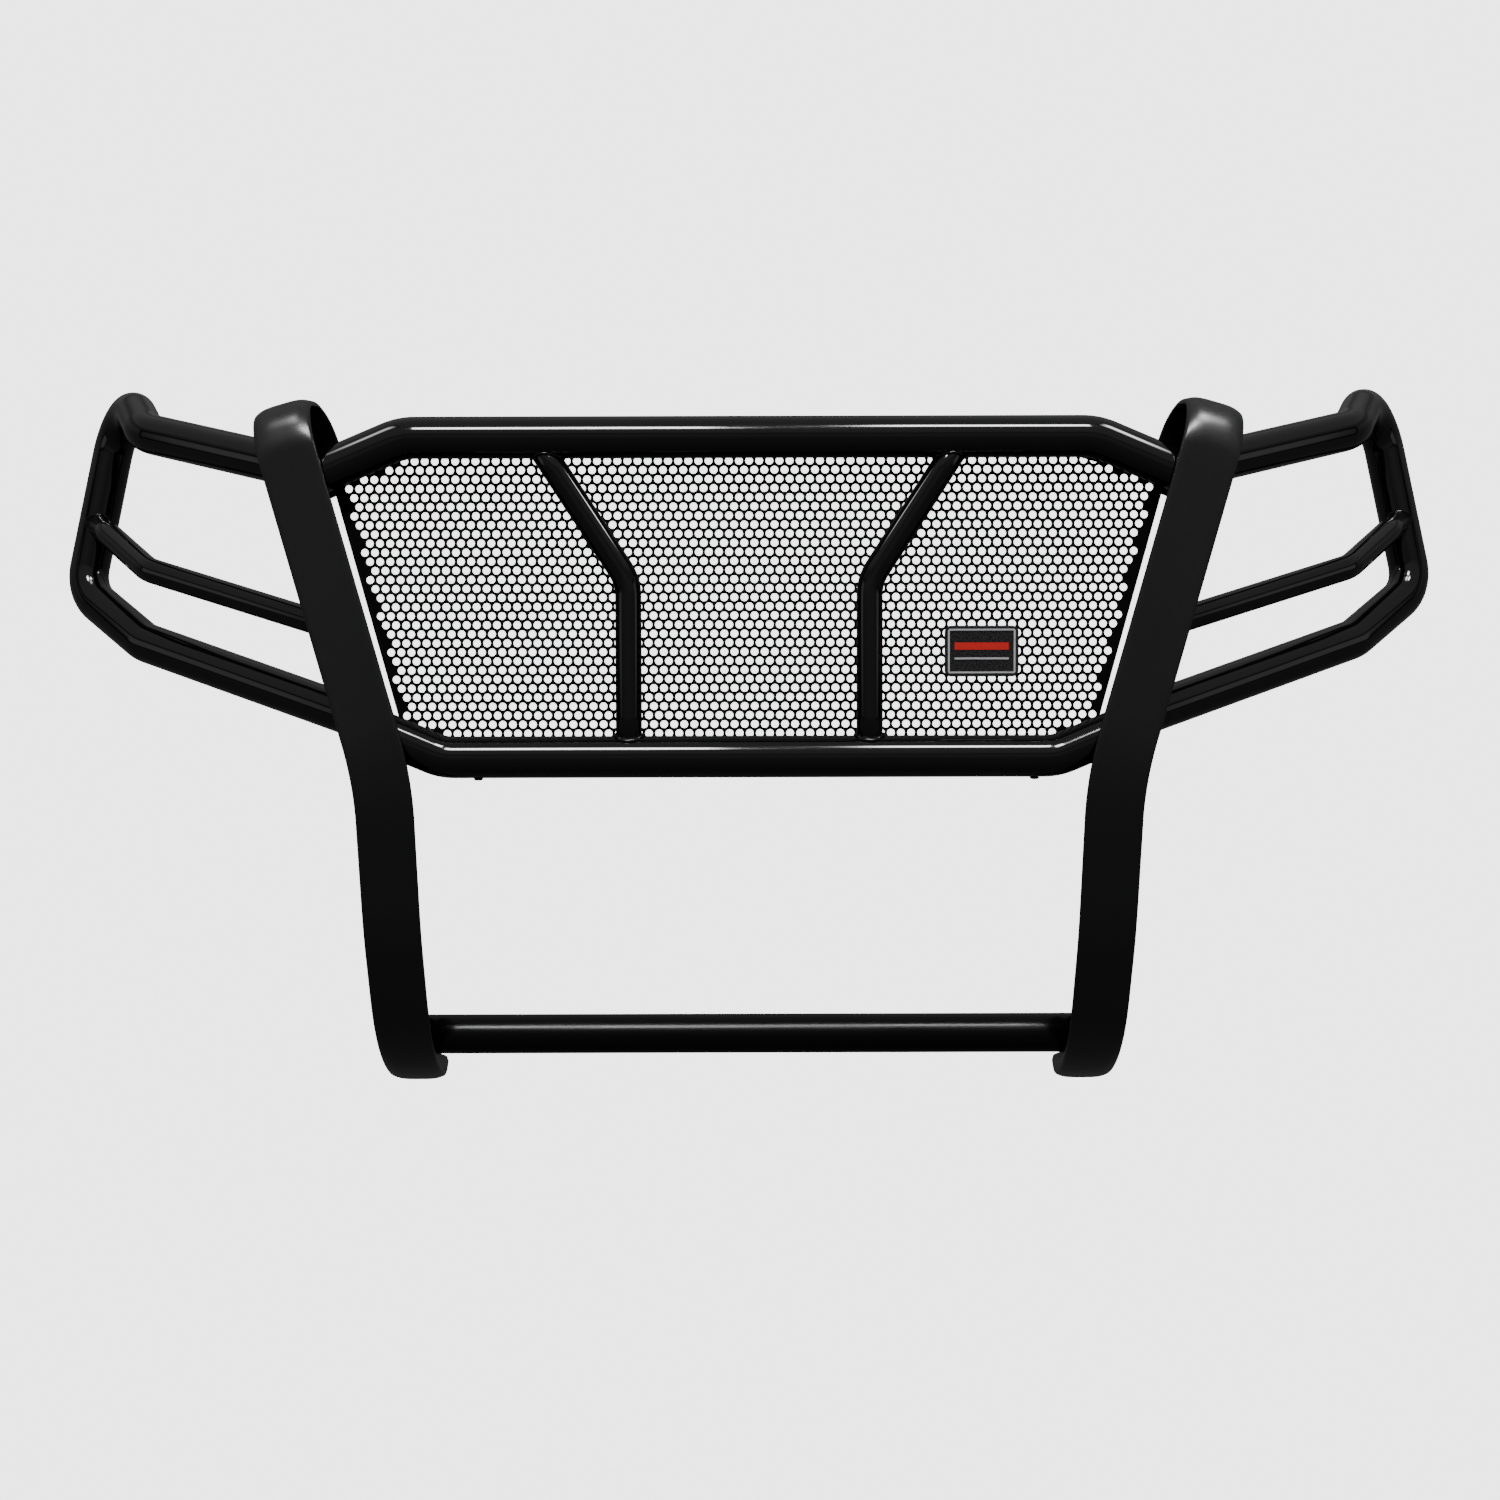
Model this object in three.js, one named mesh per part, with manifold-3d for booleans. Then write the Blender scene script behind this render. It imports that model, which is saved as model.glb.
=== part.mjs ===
// Front grille guard for a pickup truck: a welded, gloss-black tubular guard with two full-height
// uprights, a punched grille screen and a wrap-around wing at each side.
//
// Millimetres. +X points to the right as seen from in front of the truck, +Y points back towards
// the truck and +Z points up. The guard is symmetric about X = 0, apart from its badge.
// The pieces are drawn from the middle of the grille's lower edge, and the finished guard is then
// moved so that the point midway between its two frame brackets is at the origin.

import * as THREE from 'three';
import { mergeVertices } from 'three/addons/utils/BufferGeometryUtils.js';
import Module from 'manifold-3d';

const wasm = await Module();
wasm.setup();

const degrees = THREE.MathUtils.degToRad;
const vec = (x, y, z) => new THREE.Vector3(x, y, z);

// ---------------------------------------------------------------- driving dimensions

const WELD_GAP = 0.3;                  // left between pieces that are welded or clamped together

const MAIN_TUBE = { radius: 25.4, wall: 3.0, sides: 16 };      // 2 in tube
const BAR_TUBE = { radius: 15.9, wall: 2.5, sides: 12 };       // 1 1/4 in tube
const BEND_STEP = degrees(9);          // turn between two sections of a bend

// The grille panel: cross tubes, grille bars and screen share one plane that leans back.
const PANEL_RAKE = degrees(11.8);
const TOP_TUBE = { height: 378, bendX: 418, droop: degrees(22.9), bend: 80, reach: 150 };
const LOWER_TUBE = { height: -8, bendX: 372, rise: degrees(22.9), bend: 70, reach: 115 };
const GRILLE_BAR = { x: 146, kinkHeight: 205, lean: degrees(33.1), bend: 60 };

// An upright is a wide strap wrapped round the front of a fore-and-aft web plate.
const STRAP = { width: 71.5, thickness: 7, edge: 3, ahead: 33 };
const WEB = {
  thickness: 6, strapGap: 0.6, depth: 125,
  mitre: 0.8,                          // half the gap between upper and lower web at the knee
  shoulder: 291,                       // where the rear edge turns in under the crown
  crownCut: { in: 4, down: 24 },       // corner cut off behind the end of the crown
  toeCut: { in: 3, up: 20 },           // corner cut off above the lip
  heel: [[100, -400], [48, -312], [24, -235], [12, -120]],   // rear corners below the knee
};
const KNEE = { x: 441.5, height: -35, bend: 400 };
const SPLAY = degrees(16);           // outward lean of an upright above its knee
const SHIN = { length: 208, tuck: degrees(8.2), bend: 400 };
const FOOT = { straight: 100, tuck: degrees(19.4), bend: 300, turn: degrees(47) };
const LIP = { bend: 45, turn: degrees(43), straight: 26, corner: 18 };
const CROWN = {
  height: 473, noseBend: 62, backAt: 156, backSlope: degrees(88), backBend: 75, back: 96,
};
const DOME = { drop: 7, from: 395, to: 445 };   // draws in the crown's side edges, above these levels
const SAG = { drop: 6, from: degrees(25), to: degrees(60) };   // the same at the foot, by its tuck

// The bottom cross tube sits inside the feet of the uprights.
const BOTTOM_TUBE = { y: 128, z: -416 };

// Corners of a wing's main tube and of its middle bar, from upright to upright.
const WING_BEND = 54;
const WING_TUBE = [
  vec(520, 89, 326),
  vec(765, 245, 353),
  vec(821, 386, 389),
  vec(868, 291, 139),
  vec(776, 215, 88),
  vec(430, 36, 14),
];
const WING_BAR_BEND = 45;
const WING_BAR = [
  vec(475, 51.5, 132.2),
  vec(759, 187, 187.8),
  vec(855.5, 315.5, 227),
];

// The screen is a flat punched sheet behind the grille bars.
const SCREEN = { back: 19, thickness: 2, tubeClear: 17.4, sideTop: 501, sideBottom: 426 };
const SCREEN_EAR = { drop: 34, reach: 16 };
const SCREEN_TURN = { top: 30, bottom: 22 };      // half the span of the cut across each tube bend

// A plain badge held to the screen by two studs and push nuts.
const BADGE = { x: 283, up: 119, width: 90, height: 62, thickness: 4, corner: 8, bevel: 1 };
const BADGE_STUD = { x: 28, radius: 2, length: 9, slack: 0.5 };
const PUSH_NUT = { radius: 6, bore: 2.3, thickness: 1.5 };

// Drain plugs push into holes in the underside of the lower frame tube.
const PLUG = { headRadius: 6, headHeight: 2.5, stemRadius: 4, stemLength: 8, slack: 0.4 };
const PLUG_PLACES = { left: -329, right: 346 };

// Each frame bracket bolts to the outer face of a lower web.
const BRACKET = { thickness: 6.4, slotWidth: 14, slotLength: 36, slotZ: -262, slotY: [150, 190] };
const FIXING = { y: 170, z: -262 };    // middle of the brackets' slots
const BOLT = { radius: 6, holeRadius: 6.6, headAcross: 18, headHeight: 7.5, nutHeight: 10 };
const BOLT_PLACES = [
  { name: 'upper', y: 62, z: -232 },
  { name: 'lower', y: 104, z: -338 },
];

// ---------------------------------------------------------------- materials

const gloss = () => new THREE.MeshStandardMaterial({ color: 0x08080a, roughness: 0.12, metalness: 0.3 });
const satin = () => new THREE.MeshStandardMaterial({ color: 0x0c0c0f, roughness: 0.38, metalness: 0.3 });
const flat = () => new THREE.MeshStandardMaterial({ color: 0x0a0a0a, roughness: 0.6, metalness: 0.2 });
const zinc = () => new THREE.MeshStandardMaterial({ color: 0x9a9c9e, roughness: 0.35, metalness: 0.9 });
const plastic = () => new THREE.MeshStandardMaterial({ color: 0x111111, roughness: 0.5, metalness: 0.0 });

// ---------------------------------------------------------------- solids and cuts

// The bare faces of a geometry, with the corners that they share joined up.
function bareMesh(geometry) {
  const plain = geometry.clone();
  plain.deleteAttribute('normal');
  plain.deleteAttribute('uv');
  return mergeVertices(plain, 1e-4);
}

function toManifold(geometry) {
  const merged = bareMesh(geometry);
  return new wasm.Manifold(new wasm.Mesh({
    numProp: 3,
    vertProperties: new Float32Array(merged.attributes.position.array),
    triVerts: new Uint32Array(merged.index.array),
  }));
}

function fromManifold(solid) {
  const mesh = solid.getMesh();
  const geometry = new THREE.BufferGeometry();
  geometry.setAttribute('position', new THREE.BufferAttribute(new Float32Array(mesh.vertProperties), 3));
  geometry.setIndex(new THREE.BufferAttribute(new Uint32Array(mesh.triVerts), 1));
  geometry.computeVertexNormals();
  return geometry;
}

function cut(geometry, ...tools) {
  let solid = toManifold(geometry);
  for (const tool of tools) {
    solid = solid.subtract(toManifold(tool));
  }
  return fromManifold(solid);
}

function join(...geometries) {
  const [first, ...others] = geometries.map(toManifold);
  return fromManifold(others.reduce((sum, next) => sum.add(next), first));
}

// A block that fills the side of a plane that its normal points to.
function blockBeyond(point, normal) {
  const size = 1000;
  const block = new THREE.BoxGeometry(size, size, size);
  block.translate(0, 0, size / 2);
  block.applyQuaternion(new THREE.Quaternion().setFromUnitVectors(vec(0, 0, 1), normal));
  return block.translate(point.x, point.y, point.z);
}

// A cylinder round the line from one point to another.
function rodBetween(from, to, radius, sides) {
  const rod = new THREE.CylinderGeometry(radius, radius, from.distanceTo(to), sides);
  const along = to.clone().sub(from).normalize();
  rod.applyQuaternion(new THREE.Quaternion().setFromUnitVectors(vec(0, 1, 0), along));
  const middle = from.clone().lerp(to, 0.5);
  return rod.translate(middle.x, middle.y, middle.z);
}

// The same piece for the other side of the truck.
function mirrored(geometry) {
  const copy = bareMesh(geometry);
  copy.scale(-1, 1, 1);
  const index = copy.index.array;
  for (let i = 0; i < index.length; i += 3) {
    [index[i], index[i + 1]] = [index[i + 1], index[i]];
  }
  copy.computeVertexNormals();
  return copy;
}

// ---------------------------------------------------------------- bent tubes

// Stations along a line of corners, with each inner corner rounded to a bend radius.
function bentStations(corners, bends) {
  const stations = [];
  const ahead = (i) => corners[i + 1].clone().sub(corners[i]).normalize();
  stations.push({ point: corners[0].clone(), tangent: ahead(0) });
  for (let i = 1; i < corners.length - 1; i += 1) {
    const radius = Array.isArray(bends) ? bends[i - 1] : bends;
    const before = ahead(i - 1);
    const after = ahead(i);
    const turn = before.angleTo(after);
    const start = corners[i].clone().addScaledVector(before, -radius * Math.tan(turn / 2));
    const inward = after.clone().addScaledVector(before, -Math.cos(turn)).normalize();
    const steps = Math.max(2, Math.ceil(turn / BEND_STEP));
    for (let k = 0; k <= steps; k += 1) {
      const angle = (turn * k) / steps;
      stations.push({
        point: start.clone()
          .addScaledVector(before, radius * Math.sin(angle))
          .addScaledVector(inward, radius * (1 - Math.cos(angle))),
        tangent: before.clone().multiplyScalar(Math.cos(angle)).addScaledVector(inward, Math.sin(angle)),
      });
    }
  }
  const last = corners.length - 1;
  stations.push({ point: corners[last].clone(), tangent: ahead(last - 1) });
  return stations;
}

// A curve that an extrusion steps along station by station, so that straight runs stay plain.
class StationCurve extends THREE.Curve {
  constructor(stations) {
    super();
    this.stations = stations;
  }

  stationAt(t) {
    return this.stations[Math.round(t * (this.stations.length - 1))];
  }

  getUtoTmapping(u) {
    return u;
  }

  getPoint(t, target = new THREE.Vector3()) {
    return target.copy(this.stationAt(t).point);
  }

  getTangent(t, target = new THREE.Vector3()) {
    return target.copy(this.stationAt(t).tangent);
  }
}

function bentTube(corners, bends, tube) {
  const stations = bentStations(corners, bends);
  const section = new THREE.Shape();
  section.absarc(0, 0, tube.radius, 0, 2 * Math.PI);
  const bore = new THREE.Path();
  bore.absarc(0, 0, tube.radius - tube.wall, 0, 2 * Math.PI, true);
  section.holes.push(bore);
  return new THREE.ExtrudeGeometry(section, {
    extrudePath: new StationCurve(stations),
    steps: stations.length - 1,
    curveSegments: tube.sides / 2,
  });
}

// ---------------------------------------------------------------- the leaning grille panel

// A point of the grille panel: sideways, up along the panel, and back from the tube axes.
function onPanel(x, up, back = 0) {
  const s = Math.sin(PANEL_RAKE);
  const c = Math.cos(PANEL_RAKE);
  return vec(x, up * s + back * c, up * c - back * s);
}

// Moves a geometry drawn with X sideways, Y up the panel and Z forwards onto the panel.
function placedOnPanel(geometry, x, up, back) {
  geometry.rotateX(Math.PI / 2 - PANEL_RAKE);
  const place = onPanel(x, up, back);
  return geometry.translate(place.x, place.y, place.z);
}

// ---------------------------------------------------------------- uprights

const KNEE_POINT = onPanel(KNEE.x, KNEE.height, -STRAP.ahead);
const LIP_RISE = FOOT.tuck + FOOT.turn + LIP.turn - Math.PI / 2;
const WEB_NORMAL = vec(Math.cos(SPLAY), 0, -Math.sin(SPLAY));

// Corners of the strap's front face in side view, with x = 0, drawn before the upright is splayed.
function strapCorners() {
  const thighLean = Math.atan(Math.tan(PANEL_RAKE) * Math.cos(SPLAY));
  const along = vec(0, Math.sin(thighLean), Math.cos(thighLean));
  const behind = vec(0, Math.cos(thighLean), -Math.sin(thighLean));
  const knee = vec(0, KNEE_POINT.y, 0);
  const onThigh = (up, back) => knee.clone().addScaledVector(along, up).addScaledVector(behind, back);
  const crownBack = onThigh(CROWN.height, CROWN.backAt);
  const crownEnd = onThigh(
    CROWN.height - CROWN.back * Math.sin(CROWN.backSlope),
    CROWN.backAt + CROWN.back * Math.cos(CROWN.backSlope),
  );
  const downward = (tuck) => vec(0, Math.sin(tuck), -Math.cos(tuck));
  const ankle = knee.clone().addScaledVector(downward(SHIN.tuck), SHIN.length);
  const footRun = FOOT.bend * Math.tan(FOOT.turn / 2);
  const lipRun = LIP.bend * Math.tan(LIP.turn / 2);
  const footTuck = FOOT.tuck + FOOT.turn;
  const sole = ankle.clone().addScaledVector(downward(FOOT.tuck), FOOT.straight + footRun);
  const toe = sole.clone().addScaledVector(downward(footTuck), footRun + lipRun);
  const lip = toe.clone().addScaledVector(downward(footTuck + LIP.turn), lipRun + LIP.straight);
  return {
    onThigh,
    corners: [crownEnd, crownBack, onThigh(CROWN.height, 0), knee, ankle, sole, toe, lip],
    bends: [CROWN.backBend, CROWN.noseBend, KNEE.bend, SHIN.bend, FOOT.bend, LIP.bend],
  };
}

// The strap's side line, set back from its front face, as 2-D points of (Y, length).
function strapLine(setBack) {
  const { corners, bends } = strapCorners();
  return withKneeStations(bentStations(corners, bends)).map(({ point, tangent }) => {
    const inward = new THREE.Vector2(-tangent.z, tangent.y);
    return new THREE.Vector2(point.y, point.z).addScaledVector(inward, setBack);
  });
}

// Extra stations on the straight runs next to the knee, so that its sideways bend is smooth.
function withKneeStations(stations) {
  const run = KNEE.bend * Math.tan(SPLAY / 2);
  const levels = [-run, -run / 2, 0, run / 2, run];
  const result = [stations[0]];
  for (let i = 1; i < stations.length; i += 1) {
    const low = stations[i];
    const high = stations[i - 1];
    const between = levels
      .filter((level) => level < high.point.z - 4 && level > low.point.z + 4)
      .sort((a, b) => b - a);
    for (const level of between) {
      const share = (high.point.z - level) / (high.point.z - low.point.z);
      result.push({
        point: high.point.clone().lerp(low.point, share),
        tangent: high.tangent.clone().lerp(low.tangent, share).normalize(),
      });
    }
    result.push(low);
  }
  return result;
}

// Bends a geometry drawn straight up the Z axis outwards at the knee.
function splayed(geometry) {
  const run = KNEE.bend * Math.tan(SPLAY / 2);
  const position = geometry.attributes.position;
  for (let i = 0; i < position.count; i += 1) {
    const x = position.getX(i);
    const v = position.getZ(i);
    const angle = SPLAY * THREE.MathUtils.clamp((v + run) / (2 * run), 0, 1);
    const radius = KNEE.bend - x;
    const beyond = Math.max(v - run, 0);
    if (v > -run) {
      position.setX(i, KNEE.bend - radius * Math.cos(angle) + beyond * Math.sin(angle));
      position.setZ(i, -run + radius * Math.sin(angle) + beyond * Math.cos(angle));
    }
  }
  geometry.computeVertexNormals();
  return geometry;
}

// A shape from the points of its outline, turned anticlockwise, with clockwise holes in it.
function shapeWithHoles(outline, holes) {
  const points = THREE.ShapeUtils.isClockWise(outline) ? [...outline].reverse() : outline;
  const shape = new THREE.Shape(points);
  shape.holes.push(...holes);
  return shape;
}

// Extrudes an outline of (Y, length) points sideways, centred on X = 0.
function extrudedSideways(outline, width, edge, holes = [], steps = 1) {
  const shape = shapeWithHoles(outline, holes);
  const geometry = new THREE.ExtrudeGeometry(shape, {
    depth: width - 2 * edge,
    bevelEnabled: edge > 0,
    bevelSize: edge,
    bevelThickness: edge,
    bevelSegments: 2,
    curveSegments: 12,
    steps,
  });
  geometry.translate(0, 0, edge - width / 2);
  geometry.applyMatrix4(new THREE.Matrix4().makeBasis(vec(0, 1, 0), vec(0, 0, 1), vec(1, 0, 0)));
  return geometry;
}

// Draws the side edges of the crown in towards its bends, which leaves its middle standing proud.
function domed(geometry) {
  const { onThigh } = strapCorners();
  const nose = onThigh(CROWN.height - CROWN.noseBend, CROWN.noseBend);
  const rear = onThigh(CROWN.height - CROWN.backBend, CROWN.backAt - CROWN.backBend);
  const middle = new THREE.Line3(nose, rear);
  const position = geometry.attributes.position;
  for (let i = 0; i < position.count; i += 1) {
    const place = vec(0, position.getY(i), position.getZ(i));
    const share = THREE.MathUtils.smoothstep(place.z, DOME.from, DOME.to);
    const across = Math.abs(position.getX(i)) / (STRAP.width / 2);
    const inward = middle.closestPointToPoint(place, true, vec(0, 0, 0)).sub(place).normalize();
    place.addScaledVector(inward, DOME.drop * share * across ** 4);
    position.setY(i, place.y);
    position.setZ(i, place.z);
  }
}

// Draws the side edges in where the strap turns under at its foot.
function footDrawnIn(geometry) {
  const { corners, bends } = strapCorners();
  const stations = bentStations(corners, bends);
  const position = geometry.attributes.position;
  for (let i = 0; i < position.count; i += 1) {
    const place = vec(0, position.getY(i), position.getZ(i));
    if (place.z < 0) {
      const gaps = stations.map(({ point }) => point.distanceTo(place));
      const { tangent } = stations[gaps.indexOf(Math.min(...gaps))];
      const share = THREE.MathUtils.smoothstep(Math.atan2(tangent.y, -tangent.z), SAG.from, SAG.to);
      const across = Math.abs(position.getX(i)) / (STRAP.width / 2);
      const drop = SAG.drop * share * across ** 4;
      position.setY(i, place.y - tangent.z * drop);
      position.setZ(i, place.z + tangent.y * drop);
    }
  }
}

function uprightStrap() {
  const front = strapLine(STRAP.edge);
  const back = strapLine(STRAP.thickness - STRAP.edge);
  const strap = extrudedSideways([...front, ...back.reverse()], STRAP.width, STRAP.edge, [], 8);
  domed(strap);
  footDrawnIn(strap);
  const end = front[front.length - 1].x + STRAP.edge * Math.sin(LIP_RISE);
  splayed(strap).translate(KNEE_POINT.x, 0, KNEE_POINT.z);
  return cut(strap, lipCorner(1, end), lipCorner(-1, end));
}

// What is cut away to round one corner of the strap's lower end.
function lipCorner(side, end) {
  const { corner } = LIP;
  const edge = STRAP.width / 2;
  const past = 5;
  const shape = new THREE.Shape();
  shape.absarc(edge - corner, end - corner, corner, 0, Math.PI / 2);
  shape.lineTo(edge - corner, end + past);
  shape.lineTo(edge + past, end + past);
  shape.lineTo(edge + past, end - corner);
  const depth = 120;
  let cutter = new THREE.ExtrudeGeometry(shape, { depth, bevelEnabled: false, curveSegments: 4 });
  cutter.translate(0, 0, BOTTOM_TUBE.z - depth);
  cutter = side < 0 ? mirrored(cutter) : cutter;
  return cutter.translate(KNEE_POINT.x, 0, 0);
}

// The front edge of a web behind its strap: the points it keeps, and the one at the given height.
function webFront(keeps, height) {
  const all = strapLine(STRAP.thickness + WEB.strapGap);
  const after = all.findIndex((p) => p.y <= height);
  const share = (all[after - 1].y - height) / (all[after - 1].y - all[after].y);
  return {
    line: all.filter((p) => keeps(p) && Math.abs(p.y - height) > 1),
    front: all[after - 1].clone().lerp(all[after], share),
  };
}

// Upper web: fills the crown of the strap and backs the strap down to the knee.
function upperWeb() {
  const { line, front } = webFront((p) => p.y > WEB.mitre, WEB.mitre);
  const lean = Math.tan(PANEL_RAKE) * Math.cos(SPLAY);
  const rearAt = (v) => new THREE.Vector2(KNEE_POINT.y + WEB.depth + v * lean, v);
  const crownEnd = line[0];
  const outline = [
    ...line,
    front,
    rearAt(WEB.mitre),
    rearAt(WEB.shoulder),
    new THREE.Vector2(crownEnd.x - WEB.crownCut.in, crownEnd.y - WEB.crownCut.down),
  ];
  const web = extrudedSideways(outline, WEB.thickness, 0);
  web.rotateY(SPLAY);
  return web.translate(KNEE_POINT.x, 0, KNEE_POINT.z);
}

// Lower web: the plate that carries the bottom cross tube and the frame bracket.
function lowerWeb() {
  const { line, front } = webFront((p) => p.y < -WEB.mitre, -WEB.mitre);
  line.pop();
  const toe = line[line.length - 1];
  const rear = KNEE_POINT.y + WEB.depth;
  const outline = [
    front,
    ...line,
    new THREE.Vector2(toe.x - WEB.toeCut.in, toe.y + WEB.toeCut.up),
    ...WEB.heel.map(([back, up]) => new THREE.Vector2(rear + back, up)),
    new THREE.Vector2(rear, -WEB.mitre),
  ];
  const holes = BOLT_PLACES.map(({ y, z }) => roundHole(y, z - KNEE_POINT.z));
  const web = extrudedSideways(outline, WEB.thickness, 0, holes);
  return web.translate(KNEE_POINT.x, 0, KNEE_POINT.z);
}

function roundHole(x, y) {
  return new THREE.Path().absarc(x, y, BOLT.holeRadius, 0, 2 * Math.PI, true);
}

// Blocks that trim a tube to the inner or outer face of a splayed web.
function webTrim(side, outerFace) {
  const offset = WEB.thickness / 2 + WELD_GAP;
  const normal = WEB_NORMAL.clone();
  normal.x *= side;
  const knee = vec(side * KNEE_POINT.x, KNEE_POINT.y, KNEE_POINT.z);
  if (outerFace) {
    return blockBeyond(knee.addScaledVector(normal, offset), normal.clone().negate());
  }
  return blockBeyond(knee.addScaledVector(normal, -offset), normal);
}

// ---------------------------------------------------------------- cross tubes

// A level run between two bends, with an end past each bend that climbs by the given amount.
function crossTubeCorners(height, bendX, reach, climb) {
  return [
    onPanel(-bendX - reach, height + climb),
    onPanel(-bendX, height),
    onPanel(bendX, height),
    onPanel(bendX + reach, height + climb),
  ];
}

function topTubeCorners() {
  const { height, bendX, droop, reach } = TOP_TUBE;
  return crossTubeCorners(height, bendX, reach, -reach * Math.tan(droop));
}

function lowerTubeCorners() {
  const { height, bendX, rise, reach } = LOWER_TUBE;
  return crossTubeCorners(height, bendX, reach, reach * Math.tan(rise));
}

function topCrossTube() {
  const tube = bentTube(topTubeCorners(), TOP_TUBE.bend, MAIN_TUBE);
  return cut(tube, webTrim(-1, false), webTrim(1, false));
}

function lowerFrameTube() {
  const tube = bentTube(lowerTubeCorners(), LOWER_TUBE.bend, MAIN_TUBE);
  const drains = Object.values(PLUG_PLACES).map((x) => {
    const axis = onPanel(x, LOWER_TUBE.height);
    const below = onPanel(x, LOWER_TUBE.height - 2 * MAIN_TUBE.radius);
    return rodBetween(axis, below, PLUG.stemRadius + PLUG.slack, 12);
  });
  return cut(tube, webTrim(-1, false), webTrim(1, false), ...drains);
}

function bottomCrossTube() {
  const reach = KNEE.x - WEB.thickness / 2 - WELD_GAP;
  const corners = [vec(-reach, BOTTOM_TUBE.y, BOTTOM_TUBE.z), vec(reach, BOTTOM_TUBE.y, BOTTOM_TUBE.z)];
  return bentTube(corners, 0, MAIN_TUBE);
}

// ---------------------------------------------------------------- grille bars

// The right-hand bar: upright from the lower tube, then leaning out to the top tube.
function grilleBar() {
  const top = TOP_TUBE.height;
  const spread = (top - GRILLE_BAR.kinkHeight) * Math.tan(GRILLE_BAR.lean);
  const corners = [
    onPanel(GRILLE_BAR.x, LOWER_TUBE.height),
    onPanel(GRILLE_BAR.x, GRILLE_BAR.kinkHeight),
    onPanel(GRILLE_BAR.x + spread, top),
  ];
  const cope = MAIN_TUBE.radius + WELD_GAP;
  const copeRound = (height) => rodBetween(
    onPanel(0, height),
    onPanel(TOP_TUBE.bendX, height),
    cope / Math.cos(Math.PI / MAIN_TUBE.sides),
    MAIN_TUBE.sides * 2,
  );
  const bar = bentTube(corners, GRILLE_BAR.bend, BAR_TUBE);
  return cut(bar, copeRound(top), copeRound(LOWER_TUBE.height));
}

// ---------------------------------------------------------------- wings

function wingTube() {
  return cut(bentTube(WING_TUBE, WING_BEND, MAIN_TUBE), webTrim(1, true));
}

function wingBar() {
  const endTube = rodBetween(
    WING_TUBE[2],
    WING_TUBE[3],
    (MAIN_TUBE.radius + WELD_GAP) / Math.cos(Math.PI / MAIN_TUBE.sides),
    MAIN_TUBE.sides * 2,
  );
  return cut(bentTube(WING_BAR, WING_BAR_BEND, BAR_TUBE), webTrim(1, true), endTube);
}

// ---------------------------------------------------------------- screen and badge

// Right-hand half of the screen's edge, from the middle of its top to the middle of its bottom.
function screenHalfOutline() {
  const clear = SCREEN.tubeClear;
  const droop = Math.tan(TOP_TUBE.droop);
  const rise = Math.tan(LOWER_TUBE.rise);
  const topEdge = TOP_TUBE.height - clear;
  const topBend = TOP_TUBE.bendX - clear * Math.tan(TOP_TUBE.droop / 2);
  const bottomEdge = LOWER_TUBE.height + clear;
  const bottomBend = LOWER_TUBE.bendX - clear * Math.tan(LOWER_TUBE.rise / 2);
  const topAt = (x) => topEdge - (x - topBend) * droop;
  const earUnder = (x) => topAt(x) + clear / Math.cos(TOP_TUBE.droop) - SCREEN_EAR.drop;
  const bottomAt = (x) => bottomEdge + (x - bottomBend) * rise;
  const earEnd = SCREEN.sideTop + SCREEN_EAR.reach;
  const { top, bottom } = SCREEN_TURN;
  const spare = 1;
  return [
    [topBend - top, topEdge],
    [topBend + top, topAt(topBend + top) - spare],
    [earEnd, topAt(earEnd) - spare],
    [earEnd, earUnder(earEnd)],
    [SCREEN.sideTop, earUnder(SCREEN.sideTop)],
    [SCREEN.sideBottom, bottomAt(SCREEN.sideBottom) + spare],
    [bottomBend + bottom, bottomAt(bottomBend + bottom) + spare],
    [bottomBend - bottom, bottomEdge],
  ];
}

function grilleScreen() {
  const half = screenHalfOutline();
  const other = half.map(([x, y]) => [-x, y]).reverse();
  const outline = [...half, ...other].map(([x, y]) => new THREE.Vector2(x, y));
  const studHoles = [-1, 1].map((side) => {
    const x = BADGE.x + side * BADGE_STUD.x;
    return new THREE.Path().absarc(x, BADGE.up, BADGE_STUD.radius + BADGE_STUD.slack, 0, 2 * Math.PI, true);
  });
  const shape = shapeWithHoles(outline, studHoles);
  const sheet = new THREE.ExtrudeGeometry(shape, {
    depth: SCREEN.thickness, bevelEnabled: false, curveSegments: 8,
  });
  sheet.translate(0, 0, -SCREEN.thickness);
  return placedOnPanel(sheet, 0, 0, SCREEN.back);
}

function roundedRectangle(width, height, corner) {
  const x = width / 2;
  const y = height / 2;
  const shape = new THREE.Shape();
  shape.absarc(x - corner, y - corner, corner, 0, Math.PI / 2);
  shape.absarc(corner - x, y - corner, corner, Math.PI / 2, Math.PI);
  shape.absarc(corner - x, corner - y, corner, Math.PI, 1.5 * Math.PI);
  shape.absarc(x - corner, corner - y, corner, 1.5 * Math.PI, 2 * Math.PI);
  return shape;
}

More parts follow.
